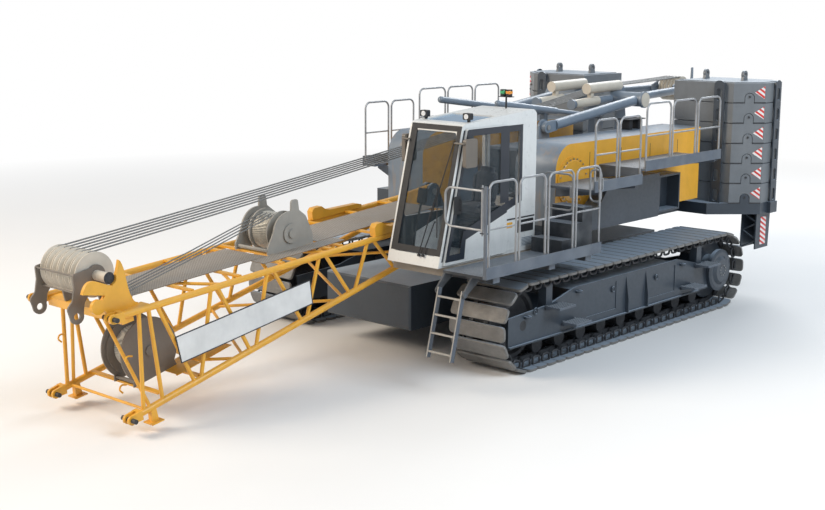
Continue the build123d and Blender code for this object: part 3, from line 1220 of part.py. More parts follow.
def boom_ends():
    """Foot lugs, head lugs and the pins in the head."""
    deep = FOOT_DEEP + chord_rise * CHORD_START + CHORD_R
    stem = [(0, -FOOT_R), (CHORD_START, -deep), (CHORD_START, deep), (0, FOOT_R)]
    y0 = BOOM_HALF - FOOT_THICK / 2
    foot = eye_plate(0, 0, FOOT_R, FOOT_BORE + CLEAR, stem, y0, y0 + FOOT_THICK)
    save("boom_feet", *[boom_place * side for side in both_sides(foot)])
    lugs = []
    pins = []
    lug_y0 = BOOM_HALF - LUG_HALF
    lug_y1 = BOOM_HALF + LUG_HALF
    root = LUG_START + LUG_R
    for half in (-1, 1):
        z = half * (FOOT_DEEP + chord_rise * BOOM_LENGTH)
        root_z = half * (FOOT_DEEP + chord_rise * LUG_START)
        lug = block(LUG_START, root, lug_y0, lug_y1, root_z - LUG_HALF, root_z + LUG_HALF)
        for y in (lug_y0, lug_y1 - LUG_PLATE):
            stem = [(root - 10, root_z - LUG_R), (BOOM_LENGTH, z - LUG_R), (BOOM_LENGTH, z + LUG_R)]
            stem += [(root - 10, root_z + LUG_R)]
            lug += eye_plate(BOOM_LENGTH, z, LUG_R, HEAD_BORE + CLEAR, stem, y, y + LUG_PLATE)
        pin = drum(BOOM_LENGTH, z, BOOM_HALF - PIN_LENGTH / 2, BOOM_HALF + PIN_LENGTH / 2, HEAD_BORE)
        lugs += both_sides(lug)
        pins += both_sides(pin)
    save("boom_head_lugs", *[boom_place * lug for lug in lugs])
    save("boom_head_pins", *[boom_place * pin for pin in pins])


def bearer(place, s, cutters):
    """A flat bar across the boom that carries a deck or a winch; it ends at the fin where it meets it."""
    half = BEARER_LONG / 2
    reach = BOOM_HALF - FIN_Y - FIN_THICK / 2 if s > BLOCK_S - FIN_BACK else BEARER_HALF
    piece = place * block(s - half, s + half, -BEARER_HALF, reach, BEARER_Z0, BEARER_Z1)
    return coped(piece, [boom_place * cutter for cutter in cutters])


def boom_fittings(cutters):
    """Decks, bearers, upper winch and parking stands carried by the boom."""
    decks = [(CHORD_START + DECK_START, UPPER_WINCH_S - UPPER_WINCH_BACK - WINCH_GAP)]
    decks.append((UPPER_WINCH_S + UPPER_WINCH_FRONT + WINCH_GAP, LUG_START - DECK_END))
    places = [UPPER_WINCH_S - UPPER_WINCH_BACK + 100, UPPER_WINCH_S + UPPER_WINCH_FRONT - 100]
    plates = []
    for s0, s1 in decks:
        for share in (0.0, 0.33, 0.67, 1.0):
            places.append(s0 + BEARER_LONG + (s1 - s0 - 2 * BEARER_LONG) * share)
        plates.append(top_place * block(s0, s1, -DECK_RIGHT, DECK_LEFT, BEARER_Z1, BEARER_Z1 + DECK_PLATE))
    side_s0 = UPPER_WINCH_S - UPPER_WINCH_BACK - SIDE_DECK_OVER
    side_s1 = UPPER_WINCH_S + UPPER_WINCH_FRONT + SIDE_DECK_OVER
    side_deck = block(side_s0, side_s1, SIDE_DECK_Y0, SIDE_DECK_Y1, BEARER_Z1, BEARER_Z1 + DECK_PLATE)
    plates.append(top_place * side_deck)
    bearers = [bearer(top_place, s, cutters) for s in places]
    for s in (LOWER_WINCH_S - 330, LOWER_WINCH_S + 330):
        bearers.append(bearer(floor_place, s, cutters))
    save("boom_bearers", *bearers)
    save("boom_decks", *plates)
    upper_winch()
    lower_winch()
    stands = []
    for side_y in (-BOOM_HALF, BOOM_HALF):
        x, y, z = chord_point(STAND_S, side_y, -1)
        foot_z = z - CHORD_R - STAND_HIGH
        post = [(x - 45, z), (x + 45, z), (x + 60, foot_z), (x - 60, foot_z)]
        stand = side_plate(post, y - 45, y + 45)
        stand += block(x - 110, x + 110, y - 110, y + 110, foot_z, foot_z + 20)
        stands.append(boom_place * coped(stand, cutters))
    save("boom_stands", *stands)


def spool(s, h, y, half, end, drum_r, flange_r, axle_r, flange):
    """A winch drum with its flanges and axle."""
    side = [(0, end), (axle_r, end), (axle_r, half), (flange_r, half), (flange_r, half - flange)]
    side += [(drum_r, half - flange)]
    return turned(s, y, h, side + [(radius, -place) for radius, place in reversed(side)])


def upper_winch():
    """The winch on top of the boom: two eared cheek plates, tie bars and the drum."""
    s, h = UPPER_WINCH_S, UPPER_WINCH_H
    back = UPPER_WINCH_BACK
    front = UPPER_WINCH_FRONT
    ear = UPPER_WINCH_EAR
    outline = [(-back, BEARER_Z1), (front, BEARER_Z1), (front, BEARER_Z1 + 100), (225, h + 290)]
    outline += [(-55, h + UPPER_CHEEK_R), (-75, ear), (-225, ear), (-235, h + 350), (-375, h + 230)]
    outline += [(-back, h - 90)]
    points = [(s + x, z) for x, z in outline]
    face = rounded(points, [(3, 90), (5, 50), (6, 50), (8, 120), (9, 90)])
    bore = UPPER_AXLE_R + CLEAR
    inner = UPPER_WINCH_HALF
    cheek = through(face, inner, inner + WINCH_PLATE)
    cheek += drum(s, h, inner, inner + WINCH_PLATE, UPPER_CHEEK_R)
    cheek += drum(s, h, inner, inner + 2 * WINCH_PLATE, UPPER_AXLE_R + 90)
    cheek -= block(s - back, s + front, 0, 2 * inner, -UPPER_CHEEK_R, BEARER_Z1)
    cheek -= drum(s, h, 0, 2 * inner, bore)
    frame, twin = both_sides(cheek)
    frame += twin
    for x, z in ((-back + 60, BEARER_Z1 + 60), (front - 60, BEARER_Z1 + 60)):
        frame += drum(s + x, z, -inner, inner, 30)
    save("upper_winch_frame", top_place * frame)
    half = inner - SWING
    end = inner + 3 * WINCH_PLATE
    piece = spool(s, h, 0, half, end, UPPER_DRUM_R, UPPER_FLANGE_R, UPPER_AXLE_R, WINCH_PLATE)
    save("upper_winch_drum", top_place * piece)


def lower_winch():
    """The drum low in the boom's head between two round cheeks on feet."""
    s, h = LOWER_WINCH_S, LOWER_WINCH_H
    y_mid = LOWER_WINCH_Y
    half = LOWER_WINCH_HALF
    foot = LOWER_WINCH_FOOT
    outline = [(s - foot, BEARER_Z1), (s + foot, BEARER_Z1), (s + foot - 120, h), (s - foot + 120, h)]
    frame = drum(s + foot - 60, BEARER_Z1 + 60, y_mid - half, y_mid + half, 30)
    frame += drum(s - foot + 60, BEARER_Z1 + 60, y_mid - half, y_mid + half, 30)
    for y0 in (y_mid - half - WINCH_PLATE, y_mid + half):
        cheek = side_plate(outline, y0, y0 + WINCH_PLATE) + drum(s, h, y0, y0 + WINCH_PLATE, LOWER_CHEEK_R)
        cheek -= block(s - 1000, s + 1000, y0 - 1, y0 + WINCH_PLATE + 1, h - 2 * LOWER_CHEEK_R, BEARER_Z1)
        frame += cheek - drum(s, h, y0 - 1, y0 + WINCH_PLATE + 1, LOWER_AXLE_R + CLEAR)
    save("lower_winch_frame", floor_place * frame)
    inside = half - SWING
    end = half + 2 * WINCH_PLATE
    piece = spool(s, h, y_mid, inside, end, LOWER_DRUM_R, LOWER_FLANGE_R, LOWER_AXLE_R, WINCH_PLATE)
    save("lower_winch_drum", floor_place * piece)


def head_block(cutters):
    """The sheave block on the boom's head, its fins, beam and front frame."""
    half = BLOCK_HALF + SWING
    chord_top = FOOT_DEEP + chord_rise * BLOCK_S
    beam_top = chord_top - 21
    s = BLOCK_S
    h = BLOCK_H
    foot = BEAM_BACK - 30
    band = [(385, 125), (36, 130), (-140, 60), (-foot, beam_top - h), (0, beam_top - h), (40, -160), (118, -170)]
    band += [(277, -338), (BLOCK_LOBE_S - 110, -BLOCK_LOBE_DROP), (BLOCK_LOBE_S + 113, -BLOCK_LOBE_DROP)]
    band += [(574, -335), (464, -252), (400, -71)]
    face = rounded([(s + x, h + z) for x, z in band], [(0, 40), (1, 60), (2, 90), (6, 60), (10, 80), (12, 60)])
    lobe_s = s + BLOCK_LOBE_S
    lobe_z = h - BLOCK_LOBE_DROP
    cheek = through(face, half, half + WINCH_PLATE)
    cheek += drum(s, h, half, half + WINCH_PLATE, AXLE_R + 80)
    cheek += drum(lobe_s, lobe_z, half, half + WINCH_PLATE, BLOCK_LOBE_R)
    cheek -= drum(lobe_s, lobe_z, 0, 2 * half, BLOCK_LOBE_R * 0.45)
    cheek -= drum(s, h, 0, 2 * half, AXLE_R + CLEAR)
    frame, twin = both_sides(cheek)
    frame += twin
    reach = SHEAVE_R + GUARD_OFF
    for turn in GUARD_TURNS:
        x = s + reach * math.cos(math.radians(turn))
        z = h + reach * math.sin(math.radians(turn))
        frame += drum(x, z, -half - WINCH_PLATE, half + WINCH_PLATE, GUARD_R)
    save("head_block_frame", boom_place * frame)
    pitch = 2 * BLOCK_HALF / SHEAVE_COUNT
    ends = (-half - 2 * WINCH_PLATE, half + HUB_TUBE)
    profile = grooved(BLOCK_HALF, SHEAVE_R, SHEAVE_GROOVE, SHEAVE_COUNT, pitch, AXLE_R, ends)
    save("head_sheaves", boom_place * turned(s, 0, BLOCK_H, profile))
    save("head_fins", boom_place * coped(head_fin(chord_top), cutters))
    beam = block(s - BEAM_BACK, s + BEAM_FRONT, -BEARER_HALF, BEARER_HALF, beam_top - BEAM_DEEP, beam_top)
    save("head_beam", boom_place * coped(beam, cutters))
    head_frame(cutters, beam_top - BEAM_DEEP)


def head_fin(chord_top):
    """The horned plate that stands on the cab side chord beside the sheave block, with its saddle."""
    s = BLOCK_S
    low = chord_top - 20
    rear = (s - FIN_BACK, low)
    front = (s + 110, low)
    chin = (s + 215, chord_top + 130)
    neck = (s + 215, chord_top + 265)
    throat = (s + 143, chord_top + 328)
    beak = (s + 504, chord_top + 453)
    saddle = (s, chord_top + 430)
    tip = (s - 186, chord_top + FIN_HIGH)
    edges = [Line(rear, front), Line(front, chin), Line(chin, neck), Line(neck, throat), Line(throat, beak)]
    edges.append(Spline(beak, (s + 300, chord_top + 590), (s + 130, chord_top + 500), saddle))
    edges.append(Spline(saddle, (s - 90, chord_top + 560), tip))
    edges.append(Spline(tip, (s - 264, chord_top + 250), (s - 324, chord_top + 84), rear))
    face = make_face(edges)
    y_mid = BOOM_HALF - FIN_Y
    y0 = y_mid - FIN_THICK / 2
    y1 = y_mid + FIN_THICK / 2
    fin = through(face, y0, y1) + drum(s + 289, chord_top + 196, y0, y1, FIN_EYE_R)
    fin -= drum(s, BLOCK_H, y0, y1, AXLE_R + 2 * SWING)
    fin += block(s - FIN_BACK + 40, LUG_START - 10, y0, BOOM_HALF, low, chord_top + 20)
    return fin


def head_frame(cutters, beam_z):
    """The tubes that brace the open front of the head."""
    tubes = []
    low_s = LUG_START - 130
    corner = chord_point(low_s, BOOM_HALF, -1)
    tubes.append(bar((low_s, -BOOM_HALF, corner[2]), corner, BRACE_R * 0.8))
    for side_y in (-BOOM_HALF, BOOM_HALF):
        foot = (low_s - 60, side_y, corner[2] + 30)
        top = (BLOCK_S - 40, side_y * 0.42, beam_z)
        brace = bar(foot, top, BRACE_R)
        brace -= block(low_s - 600, LUG_START + 100, -BOOM_HALF, BOOM_HALF, beam_z, beam_z + 500)
        tubes.append(brace)
    save("head_frame", *[boom_place * coped(tube, cutters) for tube in tubes])


def boom():
    """Everything that luffs with the boom."""
    cutters = boom_chords()
    boom_lacing(cutters)
    boom_ends()
    boom_fittings(cutters)
    head_block(cutters)


undercarriage()
turning_frame()
housings()
cab()
walkways()
ladder()
weights()
gantry_supports()
backstops()
gantry()
boom()
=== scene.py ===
"""Crawler crane, folded for transport: looks, ropes and small fittings on the shared frame."""
import math

import bmesh
import bpy
from mathutils import Matrix, Vector


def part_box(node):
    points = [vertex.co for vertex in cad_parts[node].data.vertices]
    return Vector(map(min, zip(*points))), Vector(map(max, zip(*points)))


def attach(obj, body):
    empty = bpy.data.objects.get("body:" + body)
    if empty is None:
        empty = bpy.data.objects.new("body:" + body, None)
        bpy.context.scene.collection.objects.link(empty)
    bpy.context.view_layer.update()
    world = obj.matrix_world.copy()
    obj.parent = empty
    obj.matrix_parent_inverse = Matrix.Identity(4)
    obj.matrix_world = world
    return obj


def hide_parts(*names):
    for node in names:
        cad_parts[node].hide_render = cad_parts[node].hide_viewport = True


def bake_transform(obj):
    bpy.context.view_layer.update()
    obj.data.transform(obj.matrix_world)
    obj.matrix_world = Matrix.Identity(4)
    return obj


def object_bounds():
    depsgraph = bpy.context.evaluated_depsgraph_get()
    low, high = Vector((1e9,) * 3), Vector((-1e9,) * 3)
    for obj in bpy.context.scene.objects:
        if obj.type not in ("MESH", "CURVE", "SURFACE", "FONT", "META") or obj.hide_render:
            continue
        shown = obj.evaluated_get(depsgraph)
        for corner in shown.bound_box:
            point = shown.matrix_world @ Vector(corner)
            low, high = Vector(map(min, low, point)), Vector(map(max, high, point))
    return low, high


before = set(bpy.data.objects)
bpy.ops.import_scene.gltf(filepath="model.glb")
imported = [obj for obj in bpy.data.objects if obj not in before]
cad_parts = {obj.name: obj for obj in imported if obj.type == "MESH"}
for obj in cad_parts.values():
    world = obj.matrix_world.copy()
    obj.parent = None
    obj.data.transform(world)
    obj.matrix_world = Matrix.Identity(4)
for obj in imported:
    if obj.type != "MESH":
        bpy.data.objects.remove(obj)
cad_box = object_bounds()


# Values that several materials and pieces share
DUST = (0.36, 0.37, 0.38)
# Painted skylight: the pale blue-grey that upward faces are blended towards, as if lit from above
PAINTED_SKY_LIGHT_GREY = (0.40, 0.475, 0.565)
WAVES_PER_METRE = 0.314
FRONT_X = 4.9
FRONT_Z = 1.94
FRONT_SLOPE = 0.59 / 2.315
SILL_X = 2.73
SILL_Z = 2.84
SILL_SLOPE = 0.304


# Material helpers
def new_material(name):
    """An empty node material with a principled shader joined to its output."""
    material = bpy.data.materials.new(name)
    material.use_nodes = True
    tree = material.node_tree
    tree.nodes.clear()
    output = tree.nodes.new("ShaderNodeOutputMaterial")
    shader = tree.nodes.new("ShaderNodeBsdfPrincipled")
    tree.links.new(shader.outputs[0], output.inputs[0])
    return material, tree, shader


def added(tree, kind, **inputs):
    """A new node with some of its inputs set, where an underscore stands for a space."""
    node = tree.nodes.new("ShaderNode" + kind)
    for name, value in inputs.items():
        node.inputs[name.replace("_", " ")].default_value = value
    return node


def feed(tree, socket, value):
    """Set a socket to a number or join it to another socket."""
    if isinstance(value, (int, float)):
        socket.default_value = value
    else:
        tree.links.new(value, socket)


def maths(tree, operation, *values):
    """One math node, as its result socket."""
    node = tree.nodes.new("ShaderNodeMath")
    node.operation = operation
    for socket, value in zip(node.inputs, values):
        feed(tree, socket, value)
    return node.outputs[0]


def product(tree, first, second):
    """Two values multiplied."""
    return maths(tree, "MULTIPLY", first, second)


def places(tree, stretch=None, turn=None):
    """Coordinates fixed to the object, stretched or turned if asked."""
    place = tree.nodes.new("ShaderNodeTexCoord").outputs["Object"]
    if stretch is None and turn is None:
        return place
    mapping = tree.nodes.new("ShaderNodeMapping")
    if stretch:
        mapping.inputs["Scale"].default_value = stretch
    if turn:
        mapping.inputs["Rotation"].default_value = turn
    tree.links.new(place, mapping.inputs["Vector"])
    return mapping.outputs["Vector"]


def parts_of(tree, vector):
    """A vector's three values."""
    split = tree.nodes.new("ShaderNodeSeparateXYZ")
    tree.links.new(vector, split.inputs[0])
    return split.outputs["X"], split.outputs["Y"], split.outputs["Z"]


def noise(tree, scale, detail=4.0, rough=0.6, stretch=None):
    """A noise pattern fixed to the object, as its factor socket."""
    node = added(tree, "TexNoise", Scale=scale, Detail=detail, Roughness=rough)
    tree.links.new(places(tree, stretch), node.inputs["Vector"])
    return node.outputs["Fac"]


def ramp(tree, value, low, high, low_out=0.0, high_out=1.0):
    """Stretch a value between two limits."""
    node = added(tree, "MapRange", From_Min=low, From_Max=high, To_Min=low_out, To_Max=high_out)
    tree.links.new(value, node.inputs["Value"])
    return node.outputs["Result"]


def bands(tree, cell, turn, low, high):
    """Even stripes, one in each cell, from 0 to 1."""
    node = added(tree, "TexWave", Scale=WAVES_PER_METRE / cell)
    tree.links.new(places(tree, turn=turn), node.inputs["Vector"])
    return ramp(tree, node.outputs["Fac"], low, high)


def mixed(tree, share, first, second):
    """Two colours mixed by a share."""
    node = tree.nodes.new("ShaderNodeMix")
    node.data_type = "RGBA"
    feed(tree, node.inputs["Factor"], share)
    for socket, value in ((node.inputs["A"], first), (node.inputs["B"], second)):
        if isinstance(value, tuple):
            socket.default_value = value + (1.0,)
        else:
            tree.links.new(value, socket)
    return node.outputs["Result"]


def bump(tree, shader, height, strength, distance):
    """Join a bump to a shader's normal."""
    node = added(tree, "Bump", Strength=strength, Distance=distance)
    tree.links.new(height, node.inputs["Height"])
    tree.links.new(node.outputs[0], shader.inputs["Normal"])


def surface(tree, shader, base, grain, smooth, coarse):
    """Join a base colour and an uneven roughness to a shader."""
    tree.links.new(base, shader.inputs["Base Color"])
    gloss = ramp(tree, noise(tree, grain), 0.2, 0.8, smooth, coarse)
    tree.links.new(gloss, shader.inputs["Roughness"])


def facing(tree, axis, low, high, both=False):
    """How far a surface faces along one axis, from 0 to 1."""
    normal = tree.nodes.new("ShaderNodeNewGeometry").outputs["Normal"]
    value = parts_of(tree, normal)["XYZ".index(axis)]
    if both:
        value = maths(tree, "ABSOLUTE", value)
    return ramp(tree, value, low, high)


def tint(colour, share):
    """A colour made darker or lighter."""
    return tuple(min(1.0, part * share) for part in colour)


def mottled(tree, share, colour, dark, light):
    """A colour between a darker and a lighter shade of itself."""
    return mixed(tree, share, tint(colour, dark), tint(colour, light))


def paint_layers(tree, shader, base, colour, rough, dust, painted_skylight=0.0):
    """Streaks, painted skylight and dust on upper faces, uneven gloss and a fine skin over a base
    colour.
    """
    streaks = ramp(tree, noise(tree, 7.0, stretch=(1.0, 1.0, 0.18)), 0.52, 0.78)
    base = mixed(tree, product(tree, streaks, 0.3), base, tint(colour, 0.72))
    # Painted skylight: faces turned upwards are blended towards a pale blue-grey, as if lit from above
    base = mixed(tree, product(tree, facing(tree, "Z", 0.6, 0.95), painted_skylight), base, PAINTED_SKY_LIGHT_GREY)
    lying = product(tree, facing(tree, "Z", 0.35, 0.95), ramp(tree, noise(tree, 5.0), 0.35, 0.65))
    base = mixed(tree, product(tree, lying, dust), base, DUST)
    surface(tree, shader, base, 14.0, rough - 0.09, rough + 0.13)
    bump(tree, shader, noise(tree, 90.0, 2.0), 0.12, 0.004)


def paint(name, colour, rough=0.42, dust=0.15, coat=0.15, patch=2.2, painted_skylight=0.0):
    """Painted steel with patches of slightly different shade."""
    material, tree, shader = new_material(name)
    base = mottled(tree, ramp(tree, noise(tree, patch), 0.3, 0.7), colour, 0.88, 1.07)
    shader.inputs["Coat Weight"].default_value = coat
    paint_layers(tree, shader, base, colour, rough, dust, painted_skylight)
    return material


def worn_steel(name, colour, rough=0.5, metal=0.6, scratch=0.5, painted_top_skylight=0.0):
    """Bare or worn steel with scuffs and dark pits, and painted skylight that turns its upper faces
    pale blue-grey.
    """
    material, tree, shader = new_material(name)
    clouds = ramp(tree, noise(tree, 3.5, 6.0), 0.3, 0.7)
    base = mottled(tree, clouds, colour, 0.75, 1.15)
    scuffs = ramp(tree, noise(tree, 40.0, 3.0, stretch=(1.0, 0.08, 1.0)), 0.55, 0.75)
    base = mixed(tree, product(tree, scuffs, scratch), base, tint(colour, 1.45))
    pits = ramp(tree, noise(tree, 22.0, 5.0), 0.62, 0.8)
    base = mixed(tree, product(tree, pits, 0.5), base, tint(colour, 0.45))
    # Painted skylight: upward faces blended towards a pale blue-grey, as if lit from above
    base = mixed(tree, product(tree, facing(tree, "Z", 0.75, 0.98), painted_top_skylight), base, PAINTED_SKY_LIGHT_GREY)
    shader.inputs["Metallic"].default_value = metal
    surface(tree, shader, base, 18.0, rough - 0.12, rough + 0.18)
    bump(tree, shader, noise(tree, 45.0, 4.0), 0.2, 0.006)
    return material


def grating(name, bar, gap, side, cell, turns, open_to=-100.0):
    """A deck: bars over gaps painted dark as shade on top, paint on its toe boards, risers inside of
    open_to painted dark as shade.
    """
    material, tree, shader = new_material(name)
    ridges = bands(tree, cell, turns[0], 0.45, 0.7)
    for turn in turns[1:]:
        ridges = maths(tree, "MAXIMUM", ridges, bands(tree, cell, turn, 0.6, 0.8))
    # Painted shade: the gaps between the bars take a dark colour for the shade seen through them
    top = mixed(tree, ridges, gap, bar)
    edge = mottled(tree, ramp(tree, noise(tree, 2.5), 0.3, 0.7), side, 0.85, 1.1)
    across = parts_of(tree, places(tree))[1]
    # Painted shade: side faces inside of open_to take a darker copy of the gap colour
    edge = mixed(tree, ramp(tree, across, open_to, open_to + 0.01), tint(gap, 0.9), edge)
    upper = facing(tree, "Z", 0.7, 0.8)
    base = mixed(tree, upper, edge, top)
    base = mixed(tree, product(tree, ramp(tree, noise(tree, 3.0), 0.45, 0.75), 0.2), base, DUST)
    shader.inputs["Metallic"].default_value = 0.15
    surface(tree, shader, base, 12.0, 0.45, 0.7)
    bump(tree, shader, product(tree, ridges, upper), 0.5, 0.012)
    return material


def tinted_glass(name, colour, roof, alpha):
    """Window glass with faint dirt, and a painted reflection: panes facing up or down turn blue and
    nearly opaque.
    """
    material, tree, shader = new_material(name)
    dirt = ramp(tree, noise(tree, 9.0), 0.4, 0.8)
    base = mixed(tree, product(tree, dirt, 0.3), colour, tint(colour, 1.5))
    # Painted reflection: panes facing up or down are coloured blue and made nearly opaque
    shade = facing(tree, "Z", 0.75, 0.85, both=True)
    tree.links.new(mixed(tree, shade, base, roof), shader.inputs["Base Color"])
    tree.links.new(ramp(tree, noise(tree, 20.0), 0.3, 0.7, 0.02, 0.08), shader.inputs["Roughness"])
    clear = ramp(tree, dirt, 0.0, 1.0, alpha, alpha + 0.08)
    tree.links.new(maths(tree, "MAXIMUM", clear, product(tree, shade, 0.92)), shader.inputs["Alpha"])
    shader.inputs["IOR"].default_value = 1.45
    return material


def two_tone(name, side, top, rough=0.4):
    """A hood: one colour on its sides and another on its top and ends."""
    material, tree, shader = new_material(name)
    patches = ramp(tree, noise(tree, 2.0), 0.3, 0.7)
    flank = mottled(tree, patches, side, 0.92, 1.06)
    crown = mottled(tree, patches, top, 0.9, 1.08)
    base = mixed(tree, facing(tree, "Y", 0.6, 0.7, both=True), crown, flank)
    paint_layers(tree, shader, base, tint(side, 0.9), rough, 0.1)
    return material


def beyond(tree, x, z, slope_x, slope_z, offset):
    """1 where slope_x x + slope_z z + offset is above nought, else 0, with a thin soft edge."""
    value = maths(tree, "MULTIPLY_ADD", x, slope_x, offset)
    value = maths(tree, "MULTIPLY_ADD", z, slope_z, value)
    return ramp(tree, value, 0.0, 0.004)


BAND_UNDER_SILL = 0.03
BAND_NOSE_X = 4.30
BAND_NOSE_Z = 2.03
BAND_BACK_X = 2.68
BAND_TOP_Z = 4.16
BAND_FRONT = 0.05


def cab_paint(name, pale, dark):
    """White cab paint with a dark band round the side windows, down to the slanting sill."""
    material, tree, shader = new_material(name)
    x, _, z = parts_of(tree, places(tree))
    over_sill = beyond(tree, x, z, SILL_SLOPE, 1.0, BAND_UNDER_SILL - SILL_SLOPE * SILL_X - SILL_Z)
    past_nose = beyond(tree, x, z, 1.0, 0.0, -BAND_NOSE_X)
    over_nose = product(tree, past_nose, beyond(tree, x, z, 0.0, 1.0, -BAND_NOSE_Z))
    band = maths(tree, "MAXIMUM", over_sill, over_nose)
    limits = (
        (1.0, 0.0, -BAND_BACK_X),
        (0.0, -1.0, BAND_TOP_Z),
        (-1.0, -FRONT_SLOPE, FRONT_X - BAND_FRONT + FRONT_SLOPE * FRONT_Z),
    )
    for slope_x, slope_z, offset in limits:
        band = product(tree, band, beyond(tree, x, z, slope_x, slope_z, offset))
    band = product(tree, band, facing(tree, "Y", 0.6, 0.7, both=True))
    patches = ramp(tree, noise(tree, 2.0), 0.3, 0.7)
    base = mixed(tree, band, mottled(tree, patches, pale, 0.95, 1.03), dark)
    shader.inputs["Coat Weight"].default_value = 0.3
    paint_layers(tree, shader, base, tint(pale, 0.95), 0.3, 0.05)
    return material


def striped(name, first, second, cell, direction):
    """Slanting warning stripes on a thin reflecting plate."""
    material, tree, shader = new_material(name)
    along = tree.nodes.new("ShaderNodeVectorMath")
    along.operation = "DOT_PRODUCT"
    along.inputs[1].default_value = direction
    tree.links.new(places(tree), along.inputs[0])
    share = maths(tree, "FRACT", maths(tree, "DIVIDE", along.outputs["Value"], cell))
    base = mixed(tree, ramp(tree, share, 0.48, 0.52), first, second)
    worn = ramp(tree, noise(tree, 30.0), 0.6, 0.8)
    base = mixed(tree, product(tree, worn, 0.25), base, DUST)
    surface(tree, shader, base, 20.0, 0.3, 0.5)
    bump(tree, shader, noise(tree, 120.0), 0.1, 0.002)
    return material


STRAND = 0.02
STRAND_TURN = (0.5, 0.6, 0.4)


def laid_rope(name, colour):
    """Greased steel rope: fine slanting strands."""
    material, tree, shader = new_material(name)
    strands = bands(tree, STRAND, STRAND_TURN, 0.2, 0.8)
    base = mottled(tree, strands, colour, 0.55, 1.2)
    grease = ramp(tree, noise(tree, 6.0), 0.4, 0.7)
    base = mixed(tree, product(tree, grease, 0.4), base, tint(colour, 0.6))
    shader.inputs["Metallic"].default_value = 0.4
    surface(tree, shader, base, 25.0, 0.4, 0.65)
    bump(tree, shader, strands, 0.4, 0.003)
    return material


THREAD = 0.006
CHANNEL = 0.09
CROSSWISE = (0.0, 0.0, 1.57)


def woven(name, colour):
    """Seat cloth: a fine weave with sewn channels."""
    material, tree, shader = new_material(name)
    warp = bands(tree, THREAD, None, 0.3, 0.8)
    weave = maths(tree, "MAXIMUM", warp, bands(tree, THREAD, CROSSWISE, 0.3, 0.8))
    channels = bands(tree, CHANNEL, CROSSWISE, 0.02, 0.12)
    base = mottled(tree, weave, colour, 0.7, 1.3)
    base = mixed(tree, channels, tint(colour, 0.4), base)
    surface(tree, shader, base, 30.0, 0.75, 0.95)
    shader.inputs["Sheen Weight"].default_value = 0.3
    bump(tree, shader, product(tree, weave, channels), 0.4, 0.004)
    return material


# Colours, gratings and materials, and the CAD nodes that wear each
YELLOW = (0.82, 0.41, 0.040)
GREY = (0.042, 0.054, 0.070)
SLAB = (0.165, 0.176, 0.188)
PALE_GREY = (0.175, 0.215, 0.265)
TOE_BLUE = (0.115, 0.135, 0.165)
BAR_BLUE = (0.30, 0.33, 0.37)
GAP_PAINTED_SHADE = (0.035, 0.040, 0.048)
LENS_LOOK = {"rough": 0.15, "dust": 0.0, "coat": 0.6}
DECK_CELL = 0.045
STEP_CELL = 0.06
MESH_CELL = 0.026
STAIR_EDGE_Y = 3.38
STRIPE_CELL = 0.085
STRIPE_ALONG = (-0.41, 0.41, 0.82)
ALONG_X = (0.0, 0.0, 0.0)
ALONG_Y = (0.0, 0.0, math.pi / 2)
DIAMOND = ((0.0, 0.0, 0.62), (0.0, 0.0, -0.62))

boom_yellow = paint("boom_yellow", YELLOW, rough=0.36, dust=0.12)
# Machine grey and ballast grey carry painted skylight on their upper faces
grey_paint = paint("machine_grey", GREY, dust=0.12, painted_skylight=0.8)
beam_tan = paint("beam_tan", (0.25, 0.215, 0.175), rough=0.5, dust=0.1)
ballast_grey = paint("ballast_grey", SLAB, rough=0.55, dust=0.15, painted_skylight=0.5)
cab_white = cab_paint("cab_white", (0.72, 0.72, 0.70), (0.022, 0.027, 0.037))
white_paint = paint("white_paint", (0.74, 0.725, 0.70), rough=0.35, dust=0.05)
# Track steel: painted skylight on the shoes' upper faces
track_grey = worn_steel("track_steel", (0.20, 0.192, 0.182), rough=0.5, metal=0.3, painted_top_skylight=0.85)
dark_steel = worn_steel("dark_steel", (0.055, 0.056, 0.06), rough=0.55, metal=0.4)
bare_steel = worn_steel("bare_steel", (0.40, 0.395, 0.385), rough=0.35, metal=0.85)
rail_steel = worn_steel("rail_zinc", (0.36, 0.365, 0.375), rough=0.4, metal=0.45, scratch=0.2)
# The dark gap colours of the gratings below are painted shade
deck_grey = grating("deck_bars", BAR_BLUE, GAP_PAINTED_SHADE, TOE_BLUE, DECK_CELL, (ALONG_X,))
stair_grey = grating("stair_bars", BAR_BLUE, GAP_PAINTED_SHADE, TOE_BLUE, DECK_CELL, (ALONG_X,), STAIR_EDGE_Y)
step_grey = grating(
    "step_bars", (0.34, 0.37, 0.41), (0.03, 0.035, 0.042), TOE_BLUE, STEP_CELL, (ALONG_X, ALONG_Y)
)
boom_deck = grating(
    "boom_deck_mesh", (0.38, 0.33, 0.28), (0.17, 0.145, 0.12), (0.22, 0.17, 0.12), MESH_CELL, DIAMOND
)
# Painted shade: a darker copy of the pale winch paint, for the lower winch and the head block frame,
# which sit in shade
winch_grey = paint("winch_grey", (0.185, 0.158, 0.132), rough=0.5, dust=0.1)
winch_pale = paint("winch_pale", (0.34, 0.32, 0.285), rough=0.5, dust=0.1)
mirror_back = paint("mirror_back", (0.17, 0.145, 0.12), rough=0.45, dust=0.05)
sheave_cream = paint("sheave_cream", (0.60, 0.54, 0.45), rough=0.5, dust=0.1)
pale_grey = paint("pale_grey", PALE_GREY, rough=0.42, dust=0.1)
black_rubber = paint("black_plastic", (0.022, 0.022, 0.024), rough=0.6, dust=0.08, coat=0.0)
navy_trim = paint("navy_trim", (0.018, 0.024, 0.036), rough=0.35, dust=0.02)
seat_cloth = woven("seat_cloth", (0.045, 0.048, 0.056))
